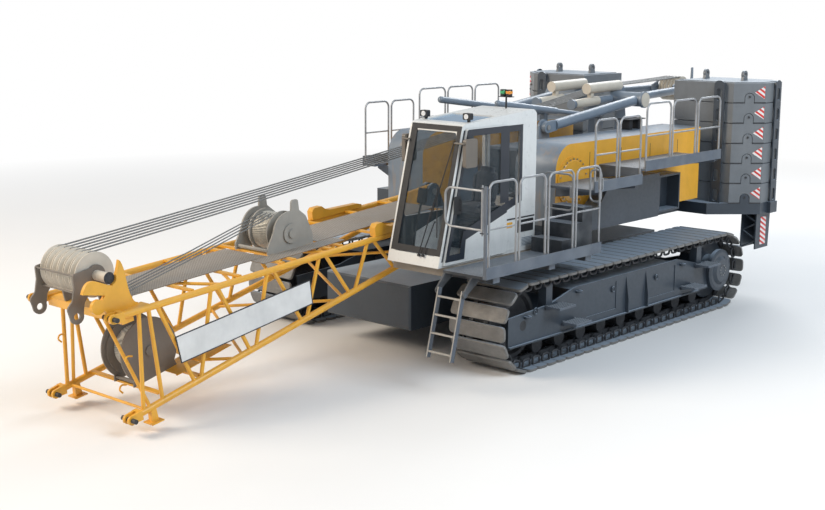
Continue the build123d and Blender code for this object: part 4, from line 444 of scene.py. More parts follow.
# The window glass's blue roof colour is a painted reflection
window_glass = tinted_glass("window_glass", (0.05, 0.07, 0.085), (0.22, 0.33, 0.46), 0.20)
hood_paint = two_tone("hood_two_tone", YELLOW, PALE_GREY)
# Painted light and shade: the ladder's one paint as a dark bluish shaded copy on its sides and a
# warm-lit tan copy on its top and ends
ladder_lit_and_shaded = two_tone("ladder_painted_light", (0.075, 0.092, 0.118), (0.34, 0.32, 0.29))
hazard = striped("hazard_stripes", (0.66, 0.045, 0.035), (0.80, 0.79, 0.77), STRIPE_CELL, STRIPE_ALONG)
steel_rope = laid_rope("steel_rope", (0.24, 0.235, 0.225))
wound_rope = laid_rope("wound_rope", (0.62, 0.59, 0.52))
lens_white = paint("lamp_lens", (0.78, 0.79, 0.80), **LENS_LOOK)
lens_amber = paint("beacon_amber", (0.85, 0.30, 0.02), **LENS_LOOK)
lens_green = paint("beacon_green", (0.05, 0.42, 0.16), **LENS_LOOK)

looks = {
    boom_yellow: "boom_chords boom_side_lacing boom_face_lacing boom_feet boom_head_lugs boom_bearers "
                 "boom_stands head_fins head_beam head_frame winch_covers",
    grey_paint: "track_frames carbody carbody_ballast turning_frame side_tanks rear_legs "
                "counterweight_base engine drive_sprockets middle_cover",
    beam_tan: "cab_base",
    ballast_grey: "counterweight_slabs lifting_eyes",
    cab_white: "cab_frame cab_door",
    track_grey: "track_left track_right",
    dark_steel: "idlers track_rollers boom_head_pins",
    bare_steel: "boom_foot_pins gantry_pins rope_guide_roller",
    rail_steel: "handrails platform_gate",
    deck_grey: "upper_walkways",
    stair_grey: "cab_platform",
    step_grey: "track_steps",
    boom_deck: "boom_decks",
    winch_grey: "lower_winch_drum lower_winch_frame head_block_frame",
    winch_pale: "upper_winch_frame upper_winch_drum",
    mirror_back: "cab_mirrors",
    sheave_cream: "head_sheaves gantry_sheaves",
    pale_grey: "gantry_legs gantry_head gantry_supports rope_guide backstops",
    black_rubber: "cab_console work_lamps",
    seat_cloth: "operator_seat",
    window_glass: "cab_glass cab_door_glass",
    hood_paint: "hoods",
    ladder_lit_and_shaded: "access_ladder",
}
for look, names in looks.items():
    for node_name in names.split():
        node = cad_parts[node_name]
        node.data.materials.clear()
        node.data.materials.append(look)


# Mesh helpers
SHARP_ANGLE = math.radians(35)


def full_turn(count):
    """The evenly spaced angles of a full turn."""
    return [2 * math.pi * step / count for step in range(count)]


def upright_ring(middle, radius, count):
    """Points of a circle that faces along Y."""
    x, y, z = middle
    angles = full_turn(count)
    return [(x + radius * math.cos(angle), y, z + radius * math.sin(angle)) for angle in angles]


def skin(bm, rings, closed=False):
    """Faces between rings of points, with both ends shut unless the rings close on themselves."""
    for first, second in zip(rings, rings[1:] + (rings[:1] if closed else [])):
        for step in range(len(first)):
            after = (step + 1) % len(first)
            bm.faces.new((first[step], first[after], second[after], second[step]))
    if not closed:
        bm.faces.new(rings[0][::-1])
        bm.faces.new(rings[-1])


def block(bm, low, high, place=Matrix(), chamfer=0.006):
    """A block between two corners with its edges broken, put at a place."""
    verts = bmesh.ops.create_cube(bm, size=1.0)["verts"]
    size = [end - start for start, end in zip(low, high)]
    middle = [(start + end) / 2 for start, end in zip(low, high)]
    shape = place @ Matrix.Translation(middle) @ Matrix.Diagonal(size + [1.0])
    bmesh.ops.transform(bm, matrix=shape, verts=verts)
    edges = list(dict.fromkeys(edge for vert in verts for edge in vert.link_edges))
    offset = min(chamfer, min(size) * 0.3)
    bmesh.ops.bevel(bm, geom=edges, offset=offset, segments=2, profile=0.5, affect="EDGES")


def tube(bm, points, radius, sides=10, closed=False):
    """A round bar along a line of points."""
    points = [Vector(point) for point in points]
    count = len(points)
    rings = []
    side = None
    for index, point in enumerate(points):
        before = points[index - 1] if index or closed else point
        after = points[(index + 1) % count] if index + 1 < count or closed else point
        ahead = (after - before).normalized()
        side = ahead.orthogonal() if side is None else side - ahead * side.dot(ahead)
        side.normalize()
        up = ahead.cross(side)
        ring = []
        for angle in full_turn(sides):
            outward = side * math.cos(angle) + up * math.sin(angle)
            ring.append(bm.verts.new(point + outward * radius))
        rings.append(ring)
    skin(bm, rings, closed)


def rounded(points, radius, closed=False, steps=5):
    """A line of points with its corners turned into bends."""
    points = [Vector(point) for point in points]
    count = len(points)
    line = []
    for index, point in enumerate(points):
        if not closed and index in (0, count - 1):
            line.append(point)
            continue
        before = points[index - 1] - point
        after = points[(index + 1) % count] - point
        start = point + before.normalized() * min(radius, before.length / 2)
        end = point + after.normalized() * min(radius, after.length / 2)
        for step in range(steps + 1):
            share = step / steps
            line.append(start.lerp(point, share).lerp(point.lerp(end, share), share))
    return line


def plate(bm, outline, thick, place):
    """A flat plate with an outline in its own X and Y, rising along its own Z."""
    rings = []
    for height in (0.0, thick):
        rings.append([bm.verts.new(place @ Vector((x, y, height))) for x, y in outline])
    skin(bm, rings)


def oblong(x0, x1, y0, y1, radius=0.0):
    """A rectangle's outline, with round corners if asked."""
    corners = [(x0, y0, 0.0), (x1, y0, 0.0), (x1, y1, 0.0), (x0, y1, 0.0)]
    if not radius:
        return [corner[:2] for corner in corners]
    return [(point.x, point.y) for point in rounded(corners, radius, closed=True, steps=3)]


def rivets(bm, middle, axis, ring, count, size, sides=6):
    """Bolt heads on a circle, or one in its middle where the ring is nought."""
    middle = Vector(middle)
    axis = Vector(axis).normalized()
    side = axis.orthogonal().normalized()
    up = axis.cross(side)
    for angle in full_turn(count):
        spot = middle + (side * math.cos(angle) + up * math.sin(angle)) * ring
        tube(bm, (spot, spot + axis * size), size, sides)


def pillow(bm, middle, half, place=Matrix(), around=28, rise=16, square=0.45):
    """A crowned cushion: a rounded box with full sides."""
    def power(value):
        return math.copysign(abs(value) ** square, value)

    rings = []
    for level in range(1, rise):
        tilt = math.pi * level / rise - math.pi / 2
        ring = []
        for turn in full_turn(around):
            point = Vector((
                middle[0] + half[0] * power(math.cos(tilt)) * power(math.cos(turn)),
                middle[1] + half[1] * power(math.cos(tilt)) * power(math.sin(turn)),
                middle[2] + half[2] * power(math.sin(tilt)),
            ))
            ring.append(bm.verts.new(place @ point))
        rings.append(ring)
    skin(bm, rings)


def made(name, bm, look):
    """A mesh object with smooth faces and sharp corners kept."""
    bmesh.ops.recalc_face_normals(bm, faces=bm.faces)
    mesh = bpy.data.meshes.new(name)
    bm.to_mesh(mesh)
    bm.free()
    mesh.materials.append(look)
    mesh.polygons.foreach_set("use_smooth", [True] * len(mesh.polygons))
    mesh.set_sharp_from_angle(angle=SHARP_ANGLE)
    piece = bpy.data.objects.new(name, mesh)
    bpy.context.collection.objects.link(piece)
    return piece


def fixed(name, bm, look, body="superstructure"):
    """A finished piece that moves with one body."""
    piece = made(name, bm, look)
    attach(piece, body)
    return piece


def middle_of(node_name):
    """The middle of a CAD node's box."""
    low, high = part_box(node_name)
    return (Vector(low) + Vector(high)) / 2


# Frames: the boom as it rests, its top and bottom faces, an upright plane along X, and the cab's front
BOOM_PIN = (1.2, 0.0, 2.5)
BOOM_REST = math.radians(9.3)
CHORD_TILT = math.atan(0.745 / 9.05)
CHORD_RISE = 0.04
SIDE = Matrix(((1, 0, 0, 0), (0, 0, -1, 0), (0, 1, 0, 0), (0, 0, 0, 1)))
UP = Vector((0.0, 0.0, 1.0))


def tilted(base, lift, angle):
    """A frame moved along its own Z and turned about its own Y."""
    return base @ Matrix.Translation((0.0, 0.0, lift)) @ Matrix.Rotation(angle, 4, "Y")


def side_place(y, base=Matrix()):
    """A plane along a frame's X and Z, with its plates growing towards -Y from the given y."""
    return base @ Matrix.Translation((0.0, y, 0.0)) @ SIDE


boom_frame = Matrix.Translation(BOOM_PIN) @ Matrix.Rotation(BOOM_REST, 4, "Y")
top_frame = tilted(boom_frame, CHORD_RISE, -CHORD_TILT)
floor_frame = tilted(boom_frame, -CHORD_RISE, CHORD_TILT)
front_frame = (
    Matrix.Translation((FRONT_X, 0.0, FRONT_Z))
    @ Matrix.Rotation(math.pi / 2, 4, "Z")
    @ Matrix.Rotation(math.pi / 2 - math.atan(FRONT_SLOPE), 4, "X")
)

# Luffing ropes: boom head to rope guide to gantry head
ROPE_COUNT = 6
ROPE_RADIUS = 0.013
ROPE_SIDES = 8
HEAD_PITCH = 0.15
GUIDE_PITCH = 0.075
HEAD_ROPE_R = 0.32
GUIDE_ROPE_R = 0.154
GANTRY_ROPE_R = 0.27
FRONT_SAG = 0.05
REAR_SAG = 0.01
FRONT_STEPS = 40
REAR_STEPS = 12
head_axis = middle_of("head_sheaves")
guide_axis = middle_of("rope_guide_roller")
gantry_axis = middle_of("gantry_sheaves")


def upper_run(first, second, sag, steps):
    """A rope over the tops of two wheels, each given as axis, radius and y, with a little sag."""
    first_axis, first_r, first_y = first
    second_axis, second_r, second_y = second
    ahead = Vector((second_axis.x - first_axis.x, 0.0, second_axis.z - first_axis.z)).normalized()
    lift = Vector((ahead.z, 0.0, -ahead.x)) if ahead.x < 0 else Vector((-ahead.z, 0.0, ahead.x))
    start = Vector((first_axis.x, first_y, first_axis.z)) + lift * first_r
    end = Vector((second_axis.x, second_y, second_axis.z)) + lift * second_r
    line = []
    for step in range(steps + 1):
        share = step / steps
        line.append(start.lerp(end, share) - UP * (sag * 4 * share * (1 - share)))
    return line


front_ropes = bmesh.new()
rear_ropes = bmesh.new()
for index in range(ROPE_COUNT):
    offset = index - (ROPE_COUNT - 1) / 2
    at_guide = (guide_axis, GUIDE_ROPE_R, offset * GUIDE_PITCH)
    at_head = (head_axis, HEAD_ROPE_R, offset * HEAD_PITCH)
    at_gantry = (gantry_axis, GANTRY_ROPE_R, offset * GUIDE_PITCH)
    tube(front_ropes, upper_run(at_guide, at_head, FRONT_SAG, FRONT_STEPS), ROPE_RADIUS, ROPE_SIDES)
    tube(rear_ropes, upper_run(at_guide, at_gantry, REAR_SAG, REAR_STEPS), ROPE_RADIUS, ROPE_SIDES)
piece = made("luffing_ropes_front", front_ropes, steel_rope)
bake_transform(piece)
piece = made("luffing_ropes_rear", rear_ropes, steel_rope)
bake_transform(piece)

# Rope on the two drums, flanges on the upper one, and ropes from it to the boom head
WOUND_RADIUS = 0.015
WOUND_STEPS = 32
UPPER_ROPE_R = 0.285
UPPER_ROPE_HALF = 0.195
LOWER_ROPE_R = 0.301
LOWER_ROPE_HALF = 0.19
SLEEVE_R = 0.284
SLEEVE_HALF = 0.2
FLANGE_R = 0.355
FLANGE_THICK = 0.035
DRUM_SIDES = 48
HOIST_COUNT = 4
HOIST_PITCH = 0.10
HOIST_RADIUS = 0.011
HOIST_SAG = 0.02
HOIST_START = Vector((0.10, -0.15, 0.302))
HOIST_END = Vector((8.45, 0.06, 0.10))


def wound(name, node_name, drum_radius, half, body):
    """Turns of rope side by side on a drum."""
    bm = bmesh.new()
    axis = middle_of(node_name)
    for turn in range(int(half / WOUND_RADIUS)):
        middle = (axis.x, axis.y - half + WOUND_RADIUS * (1 + 2 * turn), axis.z)
        line = upright_ring(middle, drum_radius + WOUND_RADIUS, WOUND_STEPS)
        tube(bm, line, WOUND_RADIUS, 6, closed=True)
    fixed(name, bm, wound_rope, body)


wound("upper_drum_rope", "upper_winch_drum", UPPER_ROPE_R, UPPER_ROPE_HALF, "upper_drum")
upper_axis = middle_of("upper_winch_drum")
flanges = bmesh.new()
for y0, y1, radius in (
    (-SLEEVE_HALF - FLANGE_THICK, -SLEEVE_HALF, FLANGE_R),
    (SLEEVE_HALF, SLEEVE_HALF + FLANGE_THICK, FLANGE_R),
    (-SLEEVE_HALF, SLEEVE_HALF, SLEEVE_R),
):
    tube(flanges, [upper_axis + Vector((0.0, y, 0.0)) for y in (y0, y1)], radius, DRUM_SIDES)
fixed("upper_drum_flanges", flanges, winch_pale, "upper_drum")
wound("lower_drum_rope", "lower_winch_drum", LOWER_ROPE_R, LOWER_ROPE_HALF, "lower_drum")
hoist = bmesh.new()
for index in range(HOIST_COUNT):
    aside = Vector((0.0, HOIST_PITCH * index, 0.0))
    start = upper_axis + HOIST_START + aside
    end = top_frame @ (HOIST_END + aside)
    tube(hoist, (start, start.lerp(end, 0.5) - UP * HOIST_SAG, end), HOIST_RADIUS, ROPE_SIDES)
fixed("hoist_ropes", hoist, steel_rope, "boom")

# Bare board on the boom's side, with a dark edge and studs to the lacing
BOARD = [(5.30, -0.255), (8.03, -0.263), (8.06, 0.157), (5.29, 0.144)]
BOARD_Y = 1.042
BOARD_THICK = 0.010
RIM_R = 0.0108
STUD_R = 0.014
STUD_Y = (0.97, 1.034)
board_place = side_place(BOARD_Y, boom_frame)
board = bmesh.new()
plate(board, BOARD, BOARD_THICK, board_place)
fixed("boom_board", board, white_paint, "boom")
rim = bmesh.new()
for corners in zip(BOARD, BOARD[1:] + BOARD[:1]):
    tube(rim, [board_place @ Vector((x, y, 0.004)) for x, y in corners], RIM_R, 8)
for s in (5.55, 6.3, 7.05, 7.8):
    for h in (-0.16, 0.06):
        tube(rim, [boom_frame @ Vector((s, y, h)) for y in STUD_Y], STUD_R, 8)
fixed("boom_board_edge", rim, dark_steel, "boom")

# Warning triangles, pins and joint lines on the slabs' chamfers, and stripes on the rear legs
SLAB_FRONT_X = -4.37
SLAB_Y = 3.10
SLAB_CUT = 0.49
SLAB_Z = 2.01
SLAB_STEP = 0.427
SLAB_COUNT = 6
SIGN = [(0.455, 0.0), (0.668, -0.135), (0.668, 0.135)]
SIGN_THICK = 0.005
PIN_ALONG = 0.347
PIN_DROP = 0.09
PIN_OUT = 0.004
PIN_R = 0.022
JOINT_HALF = 0.013
JOINT_THICK = 0.004
JOINT_RUNS = ((0.0, 0.245), (0.450, 0.693))
LEG_SIGN_X = (-5.27, -5.03)
LEG_SIGN_Y = (3.040, 3.046)
LEG_SIGN_Z = (1.08, 1.68)
signs = bmesh.new()
joints = bmesh.new()
for side in (1, -1):
    along = Vector((-1.0, side, 0.0)).normalized()
    outward = Vector((1.0, side, 0.0)).normalized()
    place = Matrix((along, UP, along.cross(UP))).transposed().to_4x4()
    # The right side's plates grow inwards, so they start one thickness out
    start_out = 0.0 if side > 0 else SIGN_THICK
    for level in range(SLAB_COUNT):
        middle_z = SLAB_Z + SLAB_STEP * (level + 0.5)
        corner = Vector((SLAB_FRONT_X, side * (SLAB_Y - SLAB_CUT), middle_z)) + outward * start_out
        place.translation = corner
        plate(signs, SIGN, SIGN_THICK, place)
        pin = corner + along * PIN_ALONG + outward * PIN_OUT - UP * PIN_DROP
        rivets(joints, pin, outward, 0.0, 1, PIN_R, 12)
        place.translation = corner - UP * SLAB_STEP / 2
        for start, end in JOINT_RUNS:
            plate(joints, oblong(start, end, -JOINT_HALF, JOINT_HALF), JOINT_THICK, place)
for y0, y1 in (LEG_SIGN_Y, (-LEG_SIGN_Y[1], -LEG_SIGN_Y[0])):
    low = (LEG_SIGN_X[0], y0, LEG_SIGN_Z[0])
    high = (LEG_SIGN_X[1], y1, LEG_SIGN_Z[1])
    block(signs, low, high, chamfer=0.001)
fixed("warning_plates", signs, hazard)
fixed("slab_pins", joints, dark_steel)

# Tracks: separate shoes with round corners on a chain of links
LINKS = 62
WHEEL_X = 3.295
CHAIN_R = 0.735
PITCH_R = 0.66
TRACK_Y = 2.595
TRACK_Z = 0.785
SHOE_THICK = 0.05
SHOE_LONG = 0.264
SHOE_WIDE = 1.2
SHOE_CORNER = 0.075
SHOE_EDGE = 0.010
LINK_R = 0.052
LINK_DEPTH = 0.055
LINK_BAR = 0.045
LINK_BAR_Y = (-0.205, 0.160)
LINK_SHIFT = 0.048
CHAIN_PIN_R = 0.026
CHAIN_PIN_HALF = 0.225
LUG = ((-0.11, 0.0), (0.11, 0.0), (0.09, -0.13), (-0.09, -0.13))
LUG_R = 0.022
LUG_BEND = 0.05
LUG_Y = 0.425
LOOP_LENGTH = 4 * WHEEL_X + 2 * math.pi * PITCH_R
LINK_PITCH = LOOP_LENGTH / LINKS


def loop_point(travel):
    """A point of the chain's outer line and the way that it faces, by travel along its pins."""
    travel = (travel + WHEEL_X) % LOOP_LENGTH
    turn = math.pi * PITCH_R
    run = 2 * WHEEL_X
    if travel < run:
        return -WHEEL_X + travel, TRACK_Z + CHAIN_R, 0.0
    travel -= run
    if travel < turn:
        angle = travel / PITCH_R
        return WHEEL_X + CHAIN_R * math.sin(angle), TRACK_Z + CHAIN_R * math.cos(angle), angle
    travel -= turn
    if travel < run:
        return WHEEL_X - travel, TRACK_Z - CHAIN_R, math.pi
    angle = math.pi + (travel - run) / PITCH_R
    return -WHEEL_X + CHAIN_R * math.sin(angle), TRACK_Z + CHAIN_R * math.cos(angle), angle


def shoe(bm, place):
    """One shoe: a plate with round corners and a broken outer edge."""
    rings = []
    for inset, height in ((0.0, 0.0), (0.0, SHOE_THICK - SHOE_EDGE), (SHOE_EDGE, SHOE_THICK)):
        long = SHOE_LONG / 2 - inset
        wide = SHOE_WIDE / 2 - inset
        outline = oblong(-long, long, -wide, wide, SHOE_CORNER)
        rings.append([bm.verts.new(place @ Vector((x, y, height))) for x, y in outline])
    skin(bm, rings)


def link(bm, place, shift):
    """The two side bars of one link with round ends, its pin, and the shoe's two open lugs."""
    half = LINK_PITCH / 2
    outline = []
    for middle, start in ((half, -90), (-half, 90)):
        for step in range(7):
            angle = math.radians(start + 30 * step)
            outline.append((middle + LINK_R * math.cos(angle), LINK_R * math.sin(angle)))
    pin_line = place @ Matrix.Translation((0.0, 0.0, -LINK_DEPTH))
    for y in (LINK_BAR_Y[0] + shift, LINK_BAR_Y[1] - shift):
        plate(bm, outline, LINK_BAR, side_place(y + LINK_BAR, pin_line))
    pin = [pin_line @ Vector((half, y, 0.0)) for y in (-CHAIN_PIN_HALF, CHAIN_PIN_HALF)]
    tube(bm, pin, CHAIN_PIN_R, 10)
    for y in (-LUG_Y, LUG_Y):
        corners = [place @ Vector((x, y, z)) for x, z in LUG]
        tube(bm, rounded(corners, LUG_BEND, closed=True, steps=2), LUG_R, 6, closed=True)


for node_name, side in (("track_left", 1), ("track_right", -1)):
    shoes = bmesh.new()
    chain = bmesh.new()
    for index in range(LINKS):
        x, z, angle = loop_point((index + 0.5) * LINK_PITCH)
        place = Matrix.Translation((x, side * TRACK_Y, z)) @ Matrix.Rotation(angle, 4, "Y")
        shoe(shoes, place)
        link(chain, place, LINK_SHIFT * (index % 2))
    piece = fixed(node_name + "_shoes", shoes, track_grey, "undercarriage")
    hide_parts(node_name)
    fixed(node_name + "_chain", chain, dark_steel, "undercarriage")

# Bolted rings on the winch covers and final drives
COVER_X = 0.71
COVER_Z = 2.94
COVER_RINGS = ((0.42, 24, 0.016), (0.16, 8, 0.014))
cover_bolts = bmesh.new()
low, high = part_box("winch_covers")
for side, face in ((1, high[1]), (-1, low[1])):
    for ring, count, size in COVER_RINGS:
        rivets(cover_bolts, (COVER_X, face, COVER_Z), (0, side, 0), ring, count, size)
fixed("cover_bolts", cover_bolts, bare_steel)
drive_bolts = bmesh.new()
low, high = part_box("drive_sprockets")
for side, face in ((1, high[1]), (-1, low[1])):
    rivets(drive_bolts, (-WHEEL_X, face, TRACK_Z), (0, side, 0), 0.10, 10, 0.012)
fixed("drive_bolts", drive_bolts, bare_steel, "undercarriage")

# Cab front: seal round the pane, and two wipers as arm and blade, by y and the way up the slope
SEAL_STRIPS = (
    (1.36, 1.49, 0.20, 2.36),
    (2.36, 2.445, 0.20, 2.36),
    (1.49, 2.36, 0.20, 0.31),
    (1.49, 2.36, 2.27, 2.36),
)
SEAL_THICK = 0.005
SEAL_OUT = 0.001
WIPERS = (
    (((2.01, 0.17), (2.20, 1.32)), ((2.12, 0.75), (2.35, 2.10))),
    (((2.10, 0.17), (2.24, 0.75)), ((2.33, 0.50), (2.15, 1.34))),
)
ARM_OUT = 0.040
BLADE_OUT = 0.022


def on_front(y, rise, out):
    """A point of the cab's front, by y, the way up the slope and the way out from it."""
    return front_frame @ Vector((y, rise, out))


seal = bmesh.new()
for strip in SEAL_STRIPS:
    plate(seal, oblong(*strip), SEAL_THICK, front_frame @ Matrix.Translation((0.0, 0.0, SEAL_OUT)))
fixed("front_seal", seal, black_rubber)
wipers = bmesh.new()
for arm, blade in WIPERS:
    foot, tip = arm
    tube(wipers, [on_front(y, rise, ARM_OUT) for y, rise in arm], 0.010, 8)
    tube(wipers, [on_front(y, rise, BLADE_OUT) for y, rise in blade], 0.009, 8)
    tube(wipers, (on_front(*foot, 0.0), on_front(*foot, ARM_OUT + 0.005)), 0.022, 12)
    tube(wipers, (on_front(*tip, ARM_OUT), on_front(*tip, BLADE_OUT - 0.004)), 0.012, 8)
fixed("wipers", wipers, black_rubber)

# Cab side: dark trim round the door's window and the rear pane
DOOR_Y = 2.50
TRIM_THICK = 0.004
TRIM_BACK = 3.17
TRIM_POST = 3.36
TRIM_TOP = (4.06, 4.17)
TRIM_FOOT = (2.03, 2.14)
TRIM_FRONT = 0.11
TRIM_PILLAR = 0.06
SILL_TRIM = 0.15
SILL_END = 4.26
PANE_TRIM_Y = 2.4549
PANE_TRIM_THICK = 0.0001
PANE_X = (2.77, 3.06)
PANE_POSTS = ((2.70, 2.77), (3.06, 3.16))
PANE_TOP = (4.05, 4.16)
PANE_SILL = 0.12


def door_edge(z):
    """The front edge of the door's trim at a height."""
    return FRONT_X - FRONT_SLOPE * (z - FRONT_Z) - TRIM_FRONT


def sill_z(x):
    """The side windows' slanting sill."""
    return SILL_Z - SILL_SLOPE * (x - SILL_X)


def sill_strip(x0, x1, under, over):
    """An outline along the slanting sill, from under it to over it."""
    lower = [(x, sill_z(x) - under) for x in (x0, x1)]
    upper = [(x, sill_z(x) + over) for x in (x1, x0)]
    return lower + upper


top_low, top_high = TRIM_TOP
foot_low, foot_high = TRIM_FOOT
door_strips = (
    [(TRIM_BACK, top_low), (door_edge(top_low), top_low),
     (door_edge(top_high), top_high), (TRIM_BACK, top_high)],
    oblong(TRIM_BACK, TRIM_POST, sill_z(TRIM_BACK) + SILL_TRIM, top_low),
    sill_strip(TRIM_BACK, SILL_END, 0.02, SILL_TRIM),
    [(4.30, foot_low), (4.42, foot_low), (4.40, 2.24), (4.32, 2.50), (4.262, 2.50), (4.262, 2.36)],
    [(4.42, foot_low), (door_edge(foot_low), foot_low),
     (door_edge(foot_high), foot_high), (4.41, foot_high)],
    [(door_edge(foot_high) - TRIM_PILLAR, foot_high), (door_edge(foot_high), foot_high),
     (door_edge(top_low), top_low), (door_edge(top_low) - TRIM_PILLAR, top_low)],
)
door_trim = bmesh.new()
for outline in door_strips:
    plate(door_trim, outline, TRIM_THICK, side_place(DOOR_Y + TRIM_THICK))
fixed("door_window_trim", door_trim, navy_trim, "door")
pane_strips = [oblong(x0, x1, sill_z(x0), PANE_TOP[1]) for x0, x1 in PANE_POSTS]
pane_strips.append(oblong(*PANE_X, *PANE_TOP))
pane_strips.append(sill_strip(*PANE_X, 0.0, PANE_SILL))
pane_trim = bmesh.new()
for outline in pane_strips:
    plate(pane_trim, outline, PANE_TRIM_THICK, side_place(PANE_TRIM_Y))
fixed("rear_pane_trim", pane_trim, navy_trim)

# Cab side: door grip, recess, louvre and blank plate, all thin enough for the door to slide past
CAB_SIDE_Y = 2.45
SIDE_PLATE = 0.003
GRIP_PLATE = 0.012
GRIP_X = 4.44
GRIP_OUT = (DOOR_Y + 0.01, DOOR_Y + 0.05)
GRIP_Z = (2.86, 3.04)
LOUVRE_COUNT = 7
LOUVRE_Z = 2.005
LOUVRE_STEP = 0.025
LOUVRE_HIGH = 0.014
LOUVRE_THICK = 0.0035
grip = bmesh.new()
plate(grip, oblong(4.40, 4.58, 2.80, 3.10, 0.03), GRIP_PLATE, side_place(DOOR_Y + GRIP_PLATE))
grip_line = [(GRIP_X, GRIP_OUT[out], GRIP_Z[up]) for out, up in ((0, 0), (1, 0), (1, 1), (0, 1))]
tube(grip, rounded(grip_line, 0.02), 0.010, 8)
fixed("door_grip", grip, black_rubber, "door")
side_plate_place = side_place(CAB_SIDE_Y + SIDE_PLATE)
# Painted shade: the recess is drawn as flat black plates that stand in for the shade inside it
recess = bmesh.new()
plate(recess, oblong(2.34, 2.80, 2.27, 2.49, 0.02), SIDE_PLATE, side_plate_place)
plate(recess, oblong(2.31, 3.14, 2.520, 2.545), SIDE_PLATE, side_plate_place)
fixed("cab_recess", recess, black_rubber)
louvre = bmesh.new()
for index in range(LOUVRE_COUNT):
    z = LOUVRE_Z + LOUVRE_STEP * index
    low = (2.36, CAB_SIDE_Y, z)
    high = (2.67, CAB_SIDE_Y + LOUVRE_THICK, z + LOUVRE_HIGH)
    block(louvre, low, high, chamfer=0.001)
fixed("cab_louvre", louvre, pale_grey)
blank = bmesh.new()
plate(blank, oblong(2.94, 3.13, 2.385, 2.48, 0.01), SIDE_PLATE, side_plate_place)
fixed("cab_blank_plate", blank, boom_yellow)

# Cab roof: lenses in the work lamps, and the beacon's two domes
LENS_X = (4.110, 4.118)
LENS_Y = (1.415, 2.355)
LENS_Z = 4.369
LENS_R = 0.044
DOME_X = 2.53
DOME_Z = 4.672
DOME_HALF = (0.057, 0.057, 0.052)
lenses = bmesh.new()
for y in LENS_Y:
    tube(lenses, [(x, y, LENS_Z) for x in LENS_X], LENS_R, 20)
fixed("lamp_lenses", lenses, lens_white)
for name, y, look in (("beacon_left", 2.015, lens_amber), ("beacon_right", 1.885, lens_green)):
    dome = bmesh.new()
    pillow(dome, (DOME_X, y, DOME_Z), DOME_HALF, around=20, rise=12, square=0.75)
    fixed(name, dome, look)

# Cab inside: seat cushions, then the seat's foot, two levers and a display on its post
SEAT_X = 3.24
SEAT_Y = 1.885
BACK_FOOT = (3.03, SEAT_Y, 2.74)
BACK_LEAN = math.radians(-8)
LEVER_Y = 0.355
DISPLAY_PLACE = (4.22, 1.50, 2.98)
DISPLAY_LEAN = math.radians(-12)
DISPLAY_HALF = (0.02, 0.10, 0.13)
DISPLAY_POST = [(4.25, 1.50, 2.86), (4.36, 1.47, 2.40), (4.40, 1.45, 2.02)]
seat = bmesh.new()
pillow(seat, (SEAT_X, SEAT_Y, 2.70), (0.27, 0.25, 0.085))
lean = Matrix.Translation(BACK_FOOT) @ Matrix.Rotation(BACK_LEAN, 4, "Y")
pillow(seat, (0.0, 0.0, 0.30), (0.075, 0.235, 0.29), lean)
pillow(seat, (-0.01, 0.0, 0.615), (0.055, 0.14, 0.055), lean)
for side in (1, -1):
    pillow(seat, (SEAT_X, SEAT_Y + side * 0.225, 2.73), (0.24, 0.035, 0.075))
    pillow(seat, (0.045, side * 0.20, 0.28), (0.05, 0.035, 0.24), lean)
piece = fixed("seat_cushions", seat, seat_cloth)
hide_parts("operator_seat")
fittings = bmesh.new()
low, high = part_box("operator_seat")
seat_foot_low = (low[0] + 0.10, SEAT_Y - 0.20, low[2] + 0.002)
seat_foot_high = (high[0] - 0.08, SEAT_Y + 0.20, low[2] + 0.125)
block(fittings, seat_foot_low, seat_foot_high, chamfer=0.02)
for side in (1, -1):
    y = SEAT_Y + side * LEVER_Y
    tube(fittings, [(3.46, y, 2.76), (3.48, y, 2.90)], 0.012, 8)
    pillow(fittings, (3.485, y, 2.93), (0.028, 0.028, 0.05), around=14, rise=8, square=0.8)
display = Matrix.Translation(DISPLAY_PLACE) @ Matrix.Rotation(DISPLAY_LEAN, 4, "Y")
block(fittings, [-half for half in DISPLAY_HALF], DISPLAY_HALF, display, 0.01)
tube(fittings, DISPLAY_POST, 0.018, 8)
fixed("cab_fittings", fittings, black_rubber)

# Inner gates on the platform: closed hoops on short hinge plates, by x, y range and z range
INNER_GATES = ((2.46, 2.77, 3.37, 2.72, 3.34), (1.62, 3.15, 3.38, 2.78, 3.34))
HOOP_R = 0.017
HOOP_BEND = 0.10
HINGE_HALF = 0.012
hoops = bmesh.new()
for x, y0, y1, z0, z1 in INNER_GATES:
    corners = [(x, y0, z0), (x, y1, z0), (x, y1, z1), (x, y0, z1)]
    tube(hoops, rounded(corners, HOOP_BEND, closed=True), HOOP_R, 8, closed=True)
    low = (x - HINGE_HALF, y1 - 0.06, z0 + 0.22)
    high = (x + HINGE_HALF, y1 + 0.04, z0 + 0.42)
    block(hoops, low, high, chamfer=0.004)
fixed("inner_hoops", hoops, rail_steel)

# Levers on the boom's upper chords near the foot, each a low bar with a thick head
CHORD_LEVERS = ((0.88, 1.01, 2.50, 3.40, 3.66), (-1.01, -0.88, 2.05, 3.00, 3.32))
LEVER_LOW = 0.045
boxes = bmesh.new()
for y0, y1, foot, neck, tip in CHORD_LEVERS:
    outline = [
        (foot, LEVER_LOW),
        (tip, LEVER_LOW),
        (tip + 0.01, 0.20),
        (tip - 0.05, 0.26),
        (neck + 0.08, 0.26),
        (neck, 0.20),
        (neck - 0.12, 0.16),
        (foot + 0.10, 0.13),
        (foot, 0.10),
    ]
    plate(boxes, outline, y1 - y0, side_place(y1, top_frame))
fixed("chord_boxes", boxes, boom_yellow, "boom")

